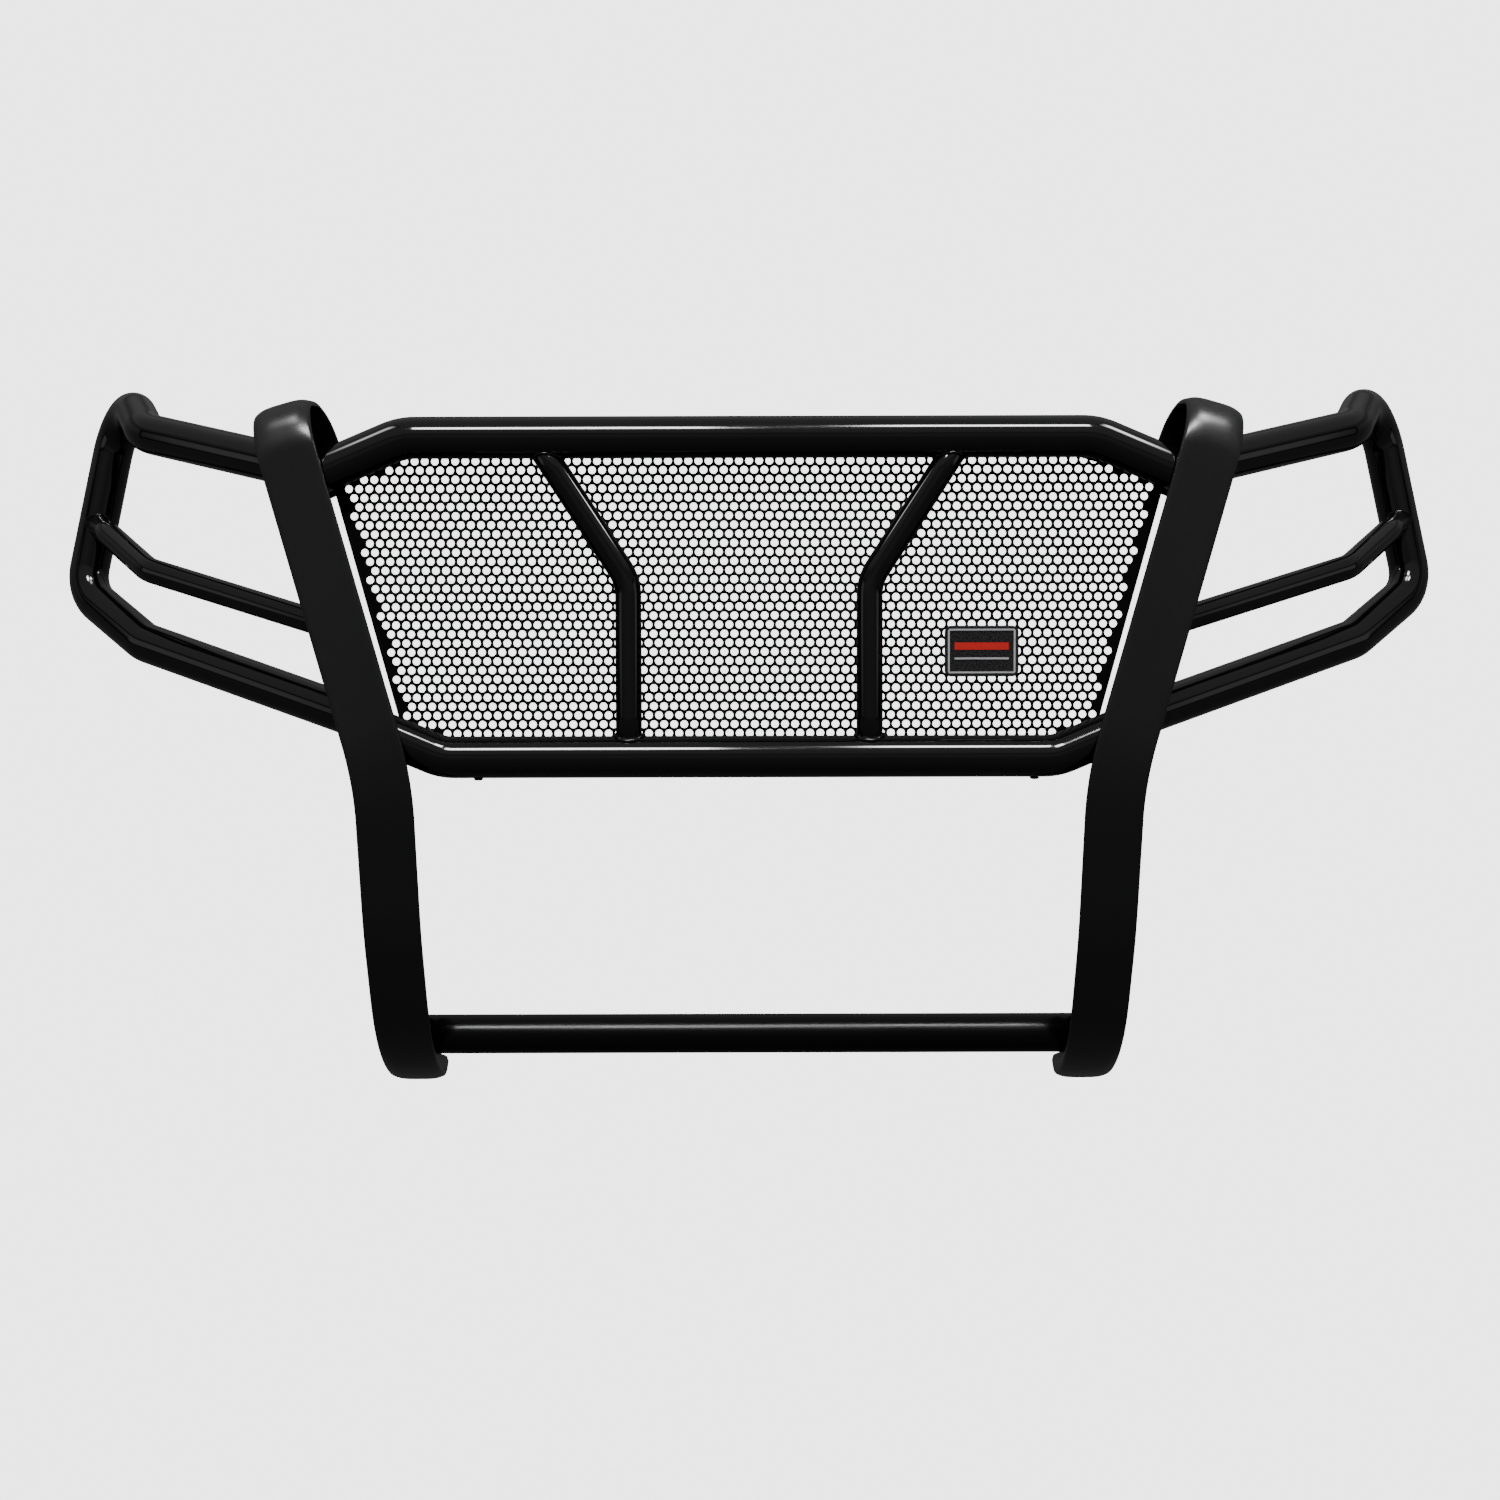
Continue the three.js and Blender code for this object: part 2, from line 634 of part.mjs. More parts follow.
function badge() {
  const { width, height, corner, bevel, thickness } = BADGE;
  const plate = new THREE.ExtrudeGeometry(
    roundedRectangle(width - 2 * bevel, height - 2 * bevel, corner - bevel),
    {
      depth: thickness - 2 * bevel, bevelSize: bevel, bevelThickness: bevel, bevelSegments: 1,
      curveSegments: 4,
    },
  );
  plate.translate(0, 0, bevel);
  const studs = [-1, 1].map((side) => {
    const stud = new THREE.CylinderGeometry(BADGE_STUD.radius, BADGE_STUD.radius, BADGE_STUD.length, 10);
    stud.rotateX(Math.PI / 2);
    return stud.translate(side * BADGE_STUD.x, 0, 1 - BADGE_STUD.length / 2);
  });
  return placedOnPanel(join(plate, ...studs), BADGE.x, BADGE.up, SCREEN.back - WELD_GAP);
}

function pushNut(side) {
  const ring = new THREE.Shape();
  ring.absarc(0, 0, PUSH_NUT.radius, 0, 2 * Math.PI);
  ring.holes.push(new THREE.Path().absarc(0, 0, PUSH_NUT.bore, 0, 2 * Math.PI, true));
  const nut = new THREE.ExtrudeGeometry(ring, {
    depth: PUSH_NUT.thickness, bevelEnabled: false, curveSegments: 12,
  });
  nut.translate(0, 0, -PUSH_NUT.thickness);
  const back = SCREEN.back + SCREEN.thickness + WELD_GAP;
  return placedOnPanel(nut, BADGE.x + side * BADGE_STUD.x, BADGE.up, back);
}

// ---------------------------------------------------------------- plugs, brackets, fasteners

function drainPlug(x) {
  const { headRadius, headHeight, stemRadius, stemLength } = PLUG;
  const seat = MAIN_TUBE.radius + WELD_GAP;
  const profile = [
    [0, seat + headHeight],
    [0.6 * headRadius, seat + headHeight],
    [headRadius, seat + 0.4 * headHeight],
    [headRadius, seat],
    [stemRadius, seat],
    [stemRadius, seat - stemLength],
    [0, seat - stemLength],
  ];
  const plug = new THREE.LatheGeometry(profile.map(([r, y]) => new THREE.Vector2(r, -y)), 16);
  return placedOnPanel(plug, x, LOWER_TUBE.height, 0);
}

// The right-hand frame bracket: a flat plate with two round holes and two slots.
function frameBracket() {
  const outline = [
    [32, -220], [46, -206], [208, -206], [220, -218], [220, -306], [208, -318],
    [152, -330], [130, -364], [98, -364], [76, -346],
  ];
  const holes = BOLT_PLACES.map(({ y, z }) => roundHole(y, z));
  for (const y of BRACKET.slotY) {
    holes.push(verticalSlot(y, BRACKET.slotZ, BRACKET.slotWidth / 2, BRACKET.slotLength));
  }
  const plate = extrudedSideways(
    outline.map(([y, z]) => new THREE.Vector2(y, z)),
    BRACKET.thickness,
    0,
    holes,
  );
  return plate.translate(bracketMiddle(), 0, 0);
}

function bracketMiddle() {
  return KNEE.x + WEB.thickness / 2 + WELD_GAP + BRACKET.thickness / 2;
}

function verticalSlot(x, y, radius, length) {
  const straight = length / 2 - radius;
  const slot = new THREE.Path();
  slot.absarc(x, y + straight, radius, Math.PI, 0, true);
  slot.absarc(x, y - straight, radius, 0, -Math.PI, true);
  return slot;
}

function hexPrism(across, height) {
  const prism = new THREE.CylinderGeometry(across / Math.sqrt(3), across / Math.sqrt(3), height, 6);
  return prism.rotateZ(-Math.PI / 2);
}

// A hex bolt along X with its head outside the bracket, and its nut inside the web.
function bracketBolt({ y, z }) {
  const outside = bracketMiddle() + BRACKET.thickness / 2 + WELD_GAP;
  const inside = KNEE.x - WEB.thickness / 2 - WELD_GAP;
  const tip = inside - BOLT.nutHeight - 3;
  const head = hexPrism(BOLT.headAcross, BOLT.headHeight);
  head.translate(outside + BOLT.headHeight / 2, y, z);
  const shank = rodBetween(vec(tip, y, z), vec(outside + 1, y, z), BOLT.radius, 14);
  return join(head, shank);
}

function bracketNut({ y, z }) {
  const inside = KNEE.x - WEB.thickness / 2 - WELD_GAP;
  const nut = hexPrism(BOLT.headAcross, BOLT.nutHeight);
  nut.translate(inside - BOLT.nutHeight / 2, y, z);
  const bore = rodBetween(vec(inside - 20, y, z), vec(inside + 10, y, z), BOLT.radius + WELD_GAP, 14);
  return cut(nut, bore);
}

// ---------------------------------------------------------------- assembly

const guard = new THREE.Group();

function add(name, geometry, material) {
  const mesh = new THREE.Mesh(geometry, material);
  mesh.name = name;
  guard.add(mesh);
}

// Adds a piece on the right of the guard and its mirror image on the left.
function addPair(name, geometry, makeMaterial) {
  add(`right_${name}`, geometry, makeMaterial());
  add(`left_${name}`, mirrored(geometry), makeMaterial());
}

addPair('upright_strap', uprightStrap(), satin);
addPair('upright_upper_web', upperWeb(), satin);
addPair('upright_lower_web', lowerWeb(), satin);
add('top_cross_tube', topCrossTube(), gloss());
add('lower_frame_tube', lowerFrameTube(), gloss());
add('bottom_cross_tube', bottomCrossTube(), gloss());
addPair('grille_bar', grilleBar(), gloss);
addPair('wing_tube', wingTube(), gloss);
addPair('wing_middle_bar', wingBar(), gloss);
add('grille_screen', grilleScreen(), flat());
add('badge', badge(), plastic());
add('badge_inner_push_nut', pushNut(-1), zinc());
add('badge_outer_push_nut', pushNut(1), zinc());
add('right_drain_plug', drainPlug(PLUG_PLACES.right), plastic());
add('left_drain_plug', drainPlug(PLUG_PLACES.left), plastic());
addPair('frame_bracket', frameBracket(), satin);
for (const place of BOLT_PLACES) {
  addPair(`${place.name}_bracket_bolt`, bracketBolt(place), zinc);
  addPair(`${place.name}_bracket_nut`, bracketNut(place), zinc);
}

// Bring the truck's fixing point, midway between the brackets, to the origin.
guard.position.set(0, -FIXING.y, -FIXING.z);
guard.updateMatrixWorld(true);

export default guard;
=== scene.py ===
"""Looks for the front grille guard: smooth bent tubes, wrapped straps, punched screen, weld beads,
black powder coat, and the studio around them."""

import math

import bmesh
import bpy
from mathutils import Matrix, Vector
from mathutils.geometry import tessellate_polygon


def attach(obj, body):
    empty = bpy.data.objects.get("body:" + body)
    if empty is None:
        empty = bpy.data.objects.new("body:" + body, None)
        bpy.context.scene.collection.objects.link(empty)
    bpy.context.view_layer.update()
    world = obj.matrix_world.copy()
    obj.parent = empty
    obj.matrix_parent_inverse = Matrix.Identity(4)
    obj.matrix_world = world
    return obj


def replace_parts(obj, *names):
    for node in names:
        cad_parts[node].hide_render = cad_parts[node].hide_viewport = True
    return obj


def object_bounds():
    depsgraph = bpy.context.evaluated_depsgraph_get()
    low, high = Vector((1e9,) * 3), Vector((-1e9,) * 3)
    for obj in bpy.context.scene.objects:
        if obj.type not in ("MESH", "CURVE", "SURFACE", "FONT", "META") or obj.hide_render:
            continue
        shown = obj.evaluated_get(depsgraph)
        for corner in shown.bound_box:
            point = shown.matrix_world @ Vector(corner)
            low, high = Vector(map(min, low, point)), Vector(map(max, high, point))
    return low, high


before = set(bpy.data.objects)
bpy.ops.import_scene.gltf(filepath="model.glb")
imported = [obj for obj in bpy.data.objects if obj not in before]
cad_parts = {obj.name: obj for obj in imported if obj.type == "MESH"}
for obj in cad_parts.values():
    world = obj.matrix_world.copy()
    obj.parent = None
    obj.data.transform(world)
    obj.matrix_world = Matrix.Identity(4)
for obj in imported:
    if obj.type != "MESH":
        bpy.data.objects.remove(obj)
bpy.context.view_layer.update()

# ---------------------------------------------------------------- sizes, in millimetres as in the CAD

MM = 0.001
FIXING = Vector((0, 170, -262))          # the row's origin, seen from the middle of the lower tube

MAIN_R = 25.4
BAR_R = 15.9
GAP = 0.3
TUBE_SIDES = 48
TUBE_STEP = 60                           # the longest step along a straight run
RAKE = math.radians(11.8)
TOP = {"up": 378, "bend_x": 418, "droop": math.radians(22.9), "bend": 80, "reach": 150}
LOWER = {"up": -8, "bend_x": 372, "rise": math.radians(22.9), "bend": 70, "reach": 115}
BAR = {"x": 146, "kink": 205, "lean": math.radians(33.1), "bend": 60}
BOTTOM = {"y": 128, "z": -416}
WING_TUBE = [(520, 89, 326), (765, 245, 353), (821, 386, 389), (868, 291, 139), (776, 215, 88), (430, 36, 14)]
WING_BEND = 54
WING_BAR = [(475, 51.5, 132.2), (759, 187, 187.8), (855.5, 315.5, 227)]
WING_BAR_BEND = 45

STRAP_WIDTH = 71.5
STRAP_THICK = 7
STRAP_AHEAD = 33
STRAP_EDGE = 3
STRAP_STEP = 12
STRAP_ACROSS = 14                        # steps across its flat faces
SPLAY = math.radians(16)
KNEE_X = 441.5
KNEE_UP = -35
KNEE_BEND = 400
SHIN = {"length": 208, "tuck": math.radians(8.2), "bend": 400}
FOOT = {"straight": 100, "tuck": math.radians(19.4), "bend": 300, "turn": math.radians(47)}
LIP = {"bend": 45, "turn": math.radians(43), "straight": 26, "corner": 18}
CROWN = {"up": 473, "nose": 62, "back_at": 156, "slope": math.radians(88), "bend": 75, "back": 96}
DOME = {"drop": 7, "from": 395, "to": 445}
SAG = {"drop": 6, "from": math.radians(25), "to": math.radians(60)}
DRAWN_POWER = 4                          # how close to its side edges the strap is drawn in
WEB_THICK = 6

BEAD = {"tube": 2.8, "bar_head": 1.7, "bar_foot": 3.2, "wing_bar_end": 1.0, "knee": 3.9}
BEAD_LIFT = 0.6                          # from the wall of the tube that a bead runs around
BEAD_SEAT = 0.4                          # from the wall of the tube that it is laid on
BEAD_STEPS = 96
BEAD_SIDES = 8
RIPPLE = {"least": 0.86, "height": 0.2, "per_step": 1.31, "wander": 0.05, "drift": 0.37}
SEAM = {"start": 9, "step": 1.2}         # the bead between the webs, back from the knee

SCREEN = {"back": 19, "thick": 2, "clear": 17.4, "side_top": 501, "side_bottom": 426, "ear": 34, "reach": 16}
EDGE = {"top_run": 30, "low_run": 22, "spare": 1}
HOLE = {"pitch": 12.30, "row": 11.03, "radius": 4.75, "side_margin": 9.5, "first_row": 19.7, "shift": 0.6}
HOLE_SIDES = 12
MARGIN = {"bend": 6, "top": 2.0, "low": 1.1, "side_start": 22, "side_less": 55}
MOST_COLUMNS = 44                        # to each side of the middle
BADGE = {"x": 283, "up": 119, "width": 90, "height": 62}
BADGE_RIM = {"inset": 10, "width": 2.2, "forward": 3.8, "raised": 1.0}
BADGE_LINE = {"down": 9, "height": 2.4}
BADGE_STRIPE = {"up": 6, "height": 9, "raised": 0.8}
BADGE_MARK_INSET = 14                    # how much shorter the line and the stripe are than the rim


# ---------------------------------------------------------------- points of the guard

def on_panel(x, up, back=0.0):
    """A point of the leaning panel: across, up its slope and behind it."""
    s, c = math.sin(RAKE), math.cos(RAKE)
    return Vector((x, up * s + back * c, up * c - back * s))


KNEE = on_panel(KNEE_X, KNEE_UP, -STRAP_AHEAD)
WEB_NORMAL = Vector((math.cos(SPLAY), 0, -math.sin(SPLAY)))


def bent_path(corners, bends, step=math.radians(3)):
    """Points and directions along a line of corners, with each inner corner rounded."""
    corners = [Vector(c) for c in corners]
    heading = [(b - a).normalized() for a, b in zip(corners, corners[1:])]
    path = [(corners[0], heading[0])]
    for i in range(1, len(corners) - 1):
        radius = bends[i - 1] if isinstance(bends, (list, tuple)) else bends
        before, after = heading[i - 1], heading[i]
        turn = before.angle(after)
        start = corners[i] - before * radius * math.tan(turn / 2)
        inward = (after - before * math.cos(turn)).normalized()
        count = max(3, math.ceil(turn / step))
        for k in range(count + 1):
            a = turn * k / count
            point = start + before * radius * math.sin(a) + inward * radius * (1 - math.cos(a))
            path.append((point, before * math.cos(a) + inward * math.sin(a)))
    path.append((corners[-1], heading[-1]))
    return path


def with_steps(path, longest):
    """Splits the straight runs of a path, so that no step is longer than this."""
    result = [path[0]]
    for (p, d), (q, e) in zip(path, path[1:]):
        count = max(1, math.ceil((q - p).length / longest))
        for k in range(1, count + 1):
            share = k / count
            result.append((p.lerp(q, share), d.lerp(e, share).normalized()))
    return result


def top_path():
    """Centre line of the top cross tube."""
    end = TOP["up"] - TOP["reach"] * math.tan(TOP["droop"])
    x = TOP["bend_x"]
    corners = [on_panel(-x - TOP["reach"], end), on_panel(-x, TOP["up"]),
               on_panel(x, TOP["up"]), on_panel(x + TOP["reach"], end)]
    return bent_path(corners, TOP["bend"])


def lower_path():
    """Centre line of the tube under the screen."""
    end = LOWER["up"] + LOWER["reach"] * math.tan(LOWER["rise"])
    x = LOWER["bend_x"]
    corners = [on_panel(-x - LOWER["reach"], end), on_panel(-x, LOWER["up"]),
               on_panel(x, LOWER["up"]), on_panel(x + LOWER["reach"], end)]
    return bent_path(corners, LOWER["bend"])


def bar_corners():
    """Foot, kink and head of a bent grille bar."""
    spread = (TOP["up"] - BAR["kink"]) * math.tan(BAR["lean"])
    return [on_panel(BAR["x"], LOWER["up"]), on_panel(BAR["x"], BAR["kink"]),
            on_panel(BAR["x"] + spread, TOP["up"])]


# ---------------------------------------------------------------- making meshes

def finished(name, bm, material, smooth=True):
    """Turns a bmesh in the CAD's millimetres into a piece of the guard."""
    for v in bm.verts:
        v.co = (v.co - FIXING) * MM
    bmesh.ops.recalc_face_normals(bm, faces=bm.faces)
    mesh = bpy.data.meshes.new(name)
    bm.to_mesh(mesh)
    bm.free()
    for p in mesh.polygons:
        p.use_smooth = smooth
    obj = bpy.data.objects.new(name, mesh)
    bpy.context.scene.collection.objects.link(obj)
    mesh.materials.append(material)
    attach(obj, "root")
    return obj


def mirror(bm):
    """Turns a right-hand piece into the left-hand one."""
    for v in bm.verts:
        v.co.x = -v.co.x
    bmesh.ops.reverse_faces(bm, faces=bm.faces)


def frames_along(path):
    """A pair of cross directions at each point of a path, without twist."""
    first = path[0][1]
    side = first.cross(Vector((0, 0, 1)))
    if side.length < 0.1:
        side = first.cross(Vector((0, 1, 0)))
    side.normalize()
    frames = []
    heading = first
    for _, d in path:
        side = heading.rotation_difference(d) @ side
        side = (side - d * side.dot(d)).normalized()
        heading = d
        frames.append((side, d.cross(side)))
    return frames


def swept(path, radius_at, sides, closed=False):
    """A round section swept along a path. radius_at takes the step and the angle."""
    bm = bmesh.new()
    rings = []
    for i, ((p, _), (u, v)) in enumerate(zip(path, frames_along(path))):
        ring = []
        for k in range(sides):
            a = 2 * math.pi * k / sides
            ring.append(bm.verts.new(p + (u * math.cos(a) + v * math.sin(a)) * radius_at(i, a)))
        rings.append(ring)
    pairs = list(zip(rings, rings[1:]))
    if closed:
        pairs.append((rings[-1], rings[0]))
    for a, b in pairs:
        for k in range(sides):
            bm.faces.new((a[k], a[(k + 1) % sides], b[(k + 1) % sides], b[k]))
    if not closed:
        bm.faces.new(rings[0])
        bm.faces.new(rings[-1])
    return bm


def trimmed(bm, point, normal):
    """Cuts away what lies past a plane, on the side that its normal points to."""
    cut = bmesh.ops.bisect_plane(
        bm, geom=bm.verts[:] + bm.edges[:] + bm.faces[:], plane_co=point, plane_no=normal, clear_outer=True)
    edges = [e for e in cut["geom_cut"] if isinstance(e, bmesh.types.BMEdge)]
    bmesh.ops.contextual_create(bm, geom=edges)


def web_face(side, outer):
    """A point and the way past it for the inner or outer face of a splayed web."""
    normal = Vector((WEB_NORMAL.x * side, 0, WEB_NORMAL.z))
    knee = Vector((KNEE.x * side, KNEE.y, KNEE.z))
    offset = WEB_THICK / 2 + GAP
    if outer:
        return knee + normal * offset, -normal
    return knee - normal * offset, normal


def tube(name, path, radius, trims, flip=False, coat=None):
    """A tube along a path, cut off at the trim planes. flip makes the left-hand one."""
    bm = swept(with_steps(path, TUBE_STEP), lambda i, a: radius, TUBE_SIDES)
    for point, normal in trims:
        trimmed(bm, point, normal)
    if flip:
        mirror(bm)
    return finished(name, bm, coat or gloss_black)


# ---------------------------------------------------------------- materials

# noise scales, per metre
CLOUD_SCALE = 9.0
SPECK_SCALE = 1400.0
PEEL_SCALE = 160.0
FINE_PEEL_SCALE = 1200.0
SPANGLE_SCALE = 120.0
ZINC_GRAIN_SCALE = 900.0
PLASTIC_GRAIN_SCALE = 700.0
# the middle part of the noise, which is spread over a finish's range
NOISE_LOW = 0.3
NOISE_HIGH = 0.7
# bump depths, in metres
PEEL_DEPTH = 0.0003
FINE_PEEL_DEPTH = 0.00004
GRAIN_DEPTH = 0.0002
ZINC_DARK = (0.42, 0.43, 0.44)
ZINC_LIGHT = (0.62, 0.62, 0.60)


def node_material(name):
    """A material with its node tree and its main shader."""
    material = bpy.data.materials.new(name)
    material.use_nodes = True
    tree = material.node_tree
    return material, tree, tree.nodes["Principled BSDF"]


def coordinates(tree):
    """The piece's own coordinates, in metres."""
    return tree.nodes.new("ShaderNodeTexCoord").outputs["Object"]


def noise_node(tree, scale, detail=3.0, roughness=0.5):
    """A cloud of noise from 0 to 1."""
    node = tree.nodes.new("ShaderNodeTexNoise")
    node.inputs["Scale"].default_value = scale
    node.inputs["Detail"].default_value = detail
    node.inputs["Roughness"].default_value = roughness
    tree.links.new(coordinates(tree), node.inputs["Vector"])
    return node.outputs["Fac"]


def remap(tree, value, from_low, from_high, low, high):
    """Spreads one range of a value over another."""
    node = tree.nodes.new("ShaderNodeMapRange")
    for key, number in (("From Min", from_low), ("From Max", from_high), ("To Min", low), ("To Max", high)):
        node.inputs[key].default_value = number
    tree.links.new(value, node.inputs["Value"])
    return node.outputs["Result"]


def blend_colors(tree, factor, first, second):
    """Mixes two colours by a factor."""
    node = tree.nodes.new("ShaderNodeMix")
    node.data_type = "RGBA"
    node.inputs["A"].default_value = (*first, 1)
    node.inputs["B"].default_value = (*second, 1)
    tree.links.new(factor, node.inputs["Factor"])
    return node.outputs["Result"]


def bumps(tree, shader, layers):
    """Stacks bump layers of (height, strength, distance in metres)."""
    below = None
    for height, strength, distance in layers:
        node = tree.nodes.new("ShaderNodeBump")
        node.inputs["Strength"].default_value = strength
        node.inputs["Distance"].default_value = distance
        tree.links.new(height, node.inputs["Height"])
        if below:
            tree.links.new(below, node.inputs["Normal"])
        below = node.outputs["Normal"]
    tree.links.new(below, shader.inputs["Normal"])


def coated(name, base, haze, rough_low, rough_high, peel, coat, shine=0.5):
    """Black powder coat: cloudy sheen, fine orange peel and a little settled dust."""
    material, tree, shader = node_material(name)
    clouds = noise_node(tree, CLOUD_SCALE, 4.0)
    dust = remap(tree, noise_node(tree, SPECK_SCALE, 1.0), 0.68, 0.76, 0.0, 1.0)
    tree.links.new(blend_colors(tree, dust, base, haze), shader.inputs["Base Color"])
    roughness = remap(tree, clouds, NOISE_LOW, NOISE_HIGH, rough_low, rough_high)
    tree.links.new(roughness, shader.inputs["Roughness"])
    shader.inputs["Specular IOR Level"].default_value = shine
    shader.inputs["Coat Weight"].default_value = coat
    shader.inputs["Coat Roughness"].default_value = rough_low * 0.6
    bumps(tree, shader, [
        (noise_node(tree, PEEL_SCALE, 1.0), peel, PEEL_DEPTH),
        (noise_node(tree, FINE_PEEL_SCALE, 2.0), peel, FINE_PEEL_DEPTH),
    ])
    return material


def zinc_plate(name):
    """Plated steel, cloudy in colour and in shine."""
    material, tree, shader = node_material(name)
    clouds = noise_node(tree, SPANGLE_SCALE, 4.0)
    color = blend_colors(tree, clouds, ZINC_DARK, ZINC_LIGHT)
    tree.links.new(color, shader.inputs["Base Color"])
    tree.links.new(remap(tree, clouds, NOISE_LOW, NOISE_HIGH, 0.25, 0.42), shader.inputs["Roughness"])
    shader.inputs["Metallic"].default_value = 1.0
    bumps(tree, shader, [(noise_node(tree, ZINC_GRAIN_SCALE, 3.0), 0.2, GRAIN_DEPTH)])
    return material


def moulded_plastic(name, base, rough):
    """Plastic or paint with a fine grain in its colour and its surface."""
    material, tree, shader = node_material(name)
    grain = noise_node(tree, PLASTIC_GRAIN_SCALE, 3.0)
    color = blend_colors(tree, grain, base, tuple(c * 1.7 + 0.004 for c in base))
    tree.links.new(color, shader.inputs["Base Color"])
    roughness = remap(tree, grain, NOISE_LOW, NOISE_HIGH, rough, rough + 0.12)
    tree.links.new(roughness, shader.inputs["Roughness"])
    bumps(tree, shader, [(grain, 0.25, GRAIN_DEPTH)])
    return material


DEEP_BLACK = (0.002, 0.002, 0.0025)
SATIN_BASE = (0.004, 0.004, 0.005)
WELD_BASE = (0.003, 0.003, 0.0035)
SCREEN_BASE = (0.002, 0.002, 0.002)
DUST = (0.010, 0.010, 0.011)
SCREEN_DUST = (0.004, 0.004, 0.004)

# coated takes: name, black, dust, lowest and highest roughness, orange peel, clear coat, shine
gloss_black = coated("gloss_black_coat", DEEP_BLACK, DUST, 0.06, 0.10, 0.03, 0.3)
worn_gloss = coated("worn_gloss_coat", DEEP_BLACK, DUST, 0.22, 0.28, 0.03, 0.0, 0.25)
satin_black = coated("satin_black_coat", SATIN_BASE, DUST, 0.27, 0.33, 0.03, 0.0, 0.9)
screen_black = coated("screen_black_coat", SCREEN_BASE, SCREEN_DUST, 0.5, 0.6, 0.12, 0.0, 0.1)
weld_black = coated("weld_black_coat", WELD_BASE, DUST, 0.08, 0.18, 0.45, 0.2)
zinc = zinc_plate("zinc_plate")
plug_black = moulded_plastic("plug_plastic", (0.012, 0.012, 0.012), 0.40)
badge_black = moulded_plastic("badge_plastic", (0.010, 0.010, 0.011), 0.22)
badge_silver = moulded_plastic("badge_silver_paint", (0.40, 0.40, 0.41), 0.35)
badge_red = moulded_plastic("badge_red_paint", (0.50, 0.014, 0.012), 0.30)


# ---------------------------------------------------------------- tubes

def bottom_end(side):
    """Where the bottom cross tube stops short of a web."""
    return Vector((side * (KNEE_X - WEB_THICK / 2 - GAP), BOTTOM["y"], BOTTOM["z"]))


def make_tubes():
    """The cross tubes, the wings and the grille bars."""
    inner = [web_face(1, False), web_face(-1, False)]
    ends = [bottom_end(-1), bottom_end(1)]
    for node, path, trims, coat in (
        ("top_cross_tube", top_path(), inner, gloss_black),
        ("lower_frame_tube", lower_path(), inner, gloss_black),
        ("bottom_cross_tube", bent_path(ends, 0), [], worn_gloss),
    ):
        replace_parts(tube(f"{node}_smooth", path, MAIN_R, trims, coat=coat), node)
    for side, flip in (("right", False), ("left", True)):
        wing = bent_path(WING_TUBE, WING_BEND)
        bar = bent_path(WING_BAR, WING_BAR_BEND)
        outer = [web_face(1, True)]
        for node, path, radius, trims in (
            ("wing_tube", wing, MAIN_R, outer),
            ("wing_middle_bar", bar, BAR_R, outer),
            ("grille_bar", bent_path(bar_corners(), BAR["bend"]), BAR_R, []),
        ):
            piece = tube(f"{side}_{node}_smooth", path, radius, trims, flip=flip)
            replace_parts(piece, f"{side}_{node}")


# ---------------------------------------------------------------- straps

def strap_path():
    """The strap's front face in side view, from the end of its crown down to its lip."""
    lean = math.atan(math.tan(RAKE) * math.cos(SPLAY))
    along = Vector((0, math.sin(lean), math.cos(lean)))
    behind = Vector((0, math.cos(lean), -math.sin(lean)))
    knee = Vector((0, KNEE.y, 0))

    def on_thigh(up, back):
        return knee + along * up + behind * back

    def downward(tuck):
        return Vector((0, math.sin(tuck), -math.cos(tuck)))

    crown_back = on_thigh(CROWN["up"], CROWN["back_at"])
    crown_end = on_thigh(CROWN["up"] - CROWN["back"] * math.sin(CROWN["slope"]),
                         CROWN["back_at"] + CROWN["back"] * math.cos(CROWN["slope"]))
    foot_run = FOOT["bend"] * math.tan(FOOT["turn"] / 2)
    lip_run = LIP["bend"] * math.tan(LIP["turn"] / 2)
    foot_tuck = FOOT["tuck"] + FOOT["turn"]
    ankle = knee + downward(SHIN["tuck"]) * SHIN["length"]
    sole = ankle + downward(FOOT["tuck"]) * (FOOT["straight"] + foot_run)
    toe = sole + downward(foot_tuck) * (foot_run + lip_run)
    lip = toe + downward(foot_tuck + LIP["turn"]) * (lip_run + LIP["straight"])
    corners = [crown_end, crown_back, on_thigh(CROWN["up"], 0), knee, ankle, sole, toe, lip]
    bends = [CROWN["bend"], CROWN["nose"], KNEE_BEND, SHIN["bend"], FOOT["bend"], LIP["bend"]]
    nose = on_thigh(CROWN["up"] - CROWN["nose"], CROWN["nose"])
    rear = on_thigh(CROWN["up"] - CROWN["bend"], CROWN["back_at"] - CROWN["bend"])
    return with_steps(bent_path(corners, bends, math.radians(2.5)), STRAP_STEP), nose, rear


def eased(value):
    """A smooth step from 0 to 1."""
    value = min(max(value, 0), 1)
    return value * value * (3 - 2 * value)


def foot_sag(p, d):
    """How far the side edges are drawn in where the strap turns under at its foot."""
    tuck = math.atan2(d.y, -d.z)
    return SAG["drop"] * eased((tuck - SAG["from"]) / (SAG["to"] - SAG["from"])) if p.z < 0 else 0


def domed(point, half, nose, rear):
    """Draws the side edges of the crown in towards its bends, which leaves its middle standing proud."""
    share = eased((point.z - DOME["from"]) / (DOME["to"] - DOME["from"]))
    if not share:
        return point
    place = Vector((0, point.y, point.z))
    run = rear - nose
    along = min(max((place - nose).dot(run) / run.dot(run), 0), 1)
    inward = (nose + run * along - place).normalized()
    return point + inward * DOME["drop"] * share * (abs(point.x) / half) ** DRAWN_POWER


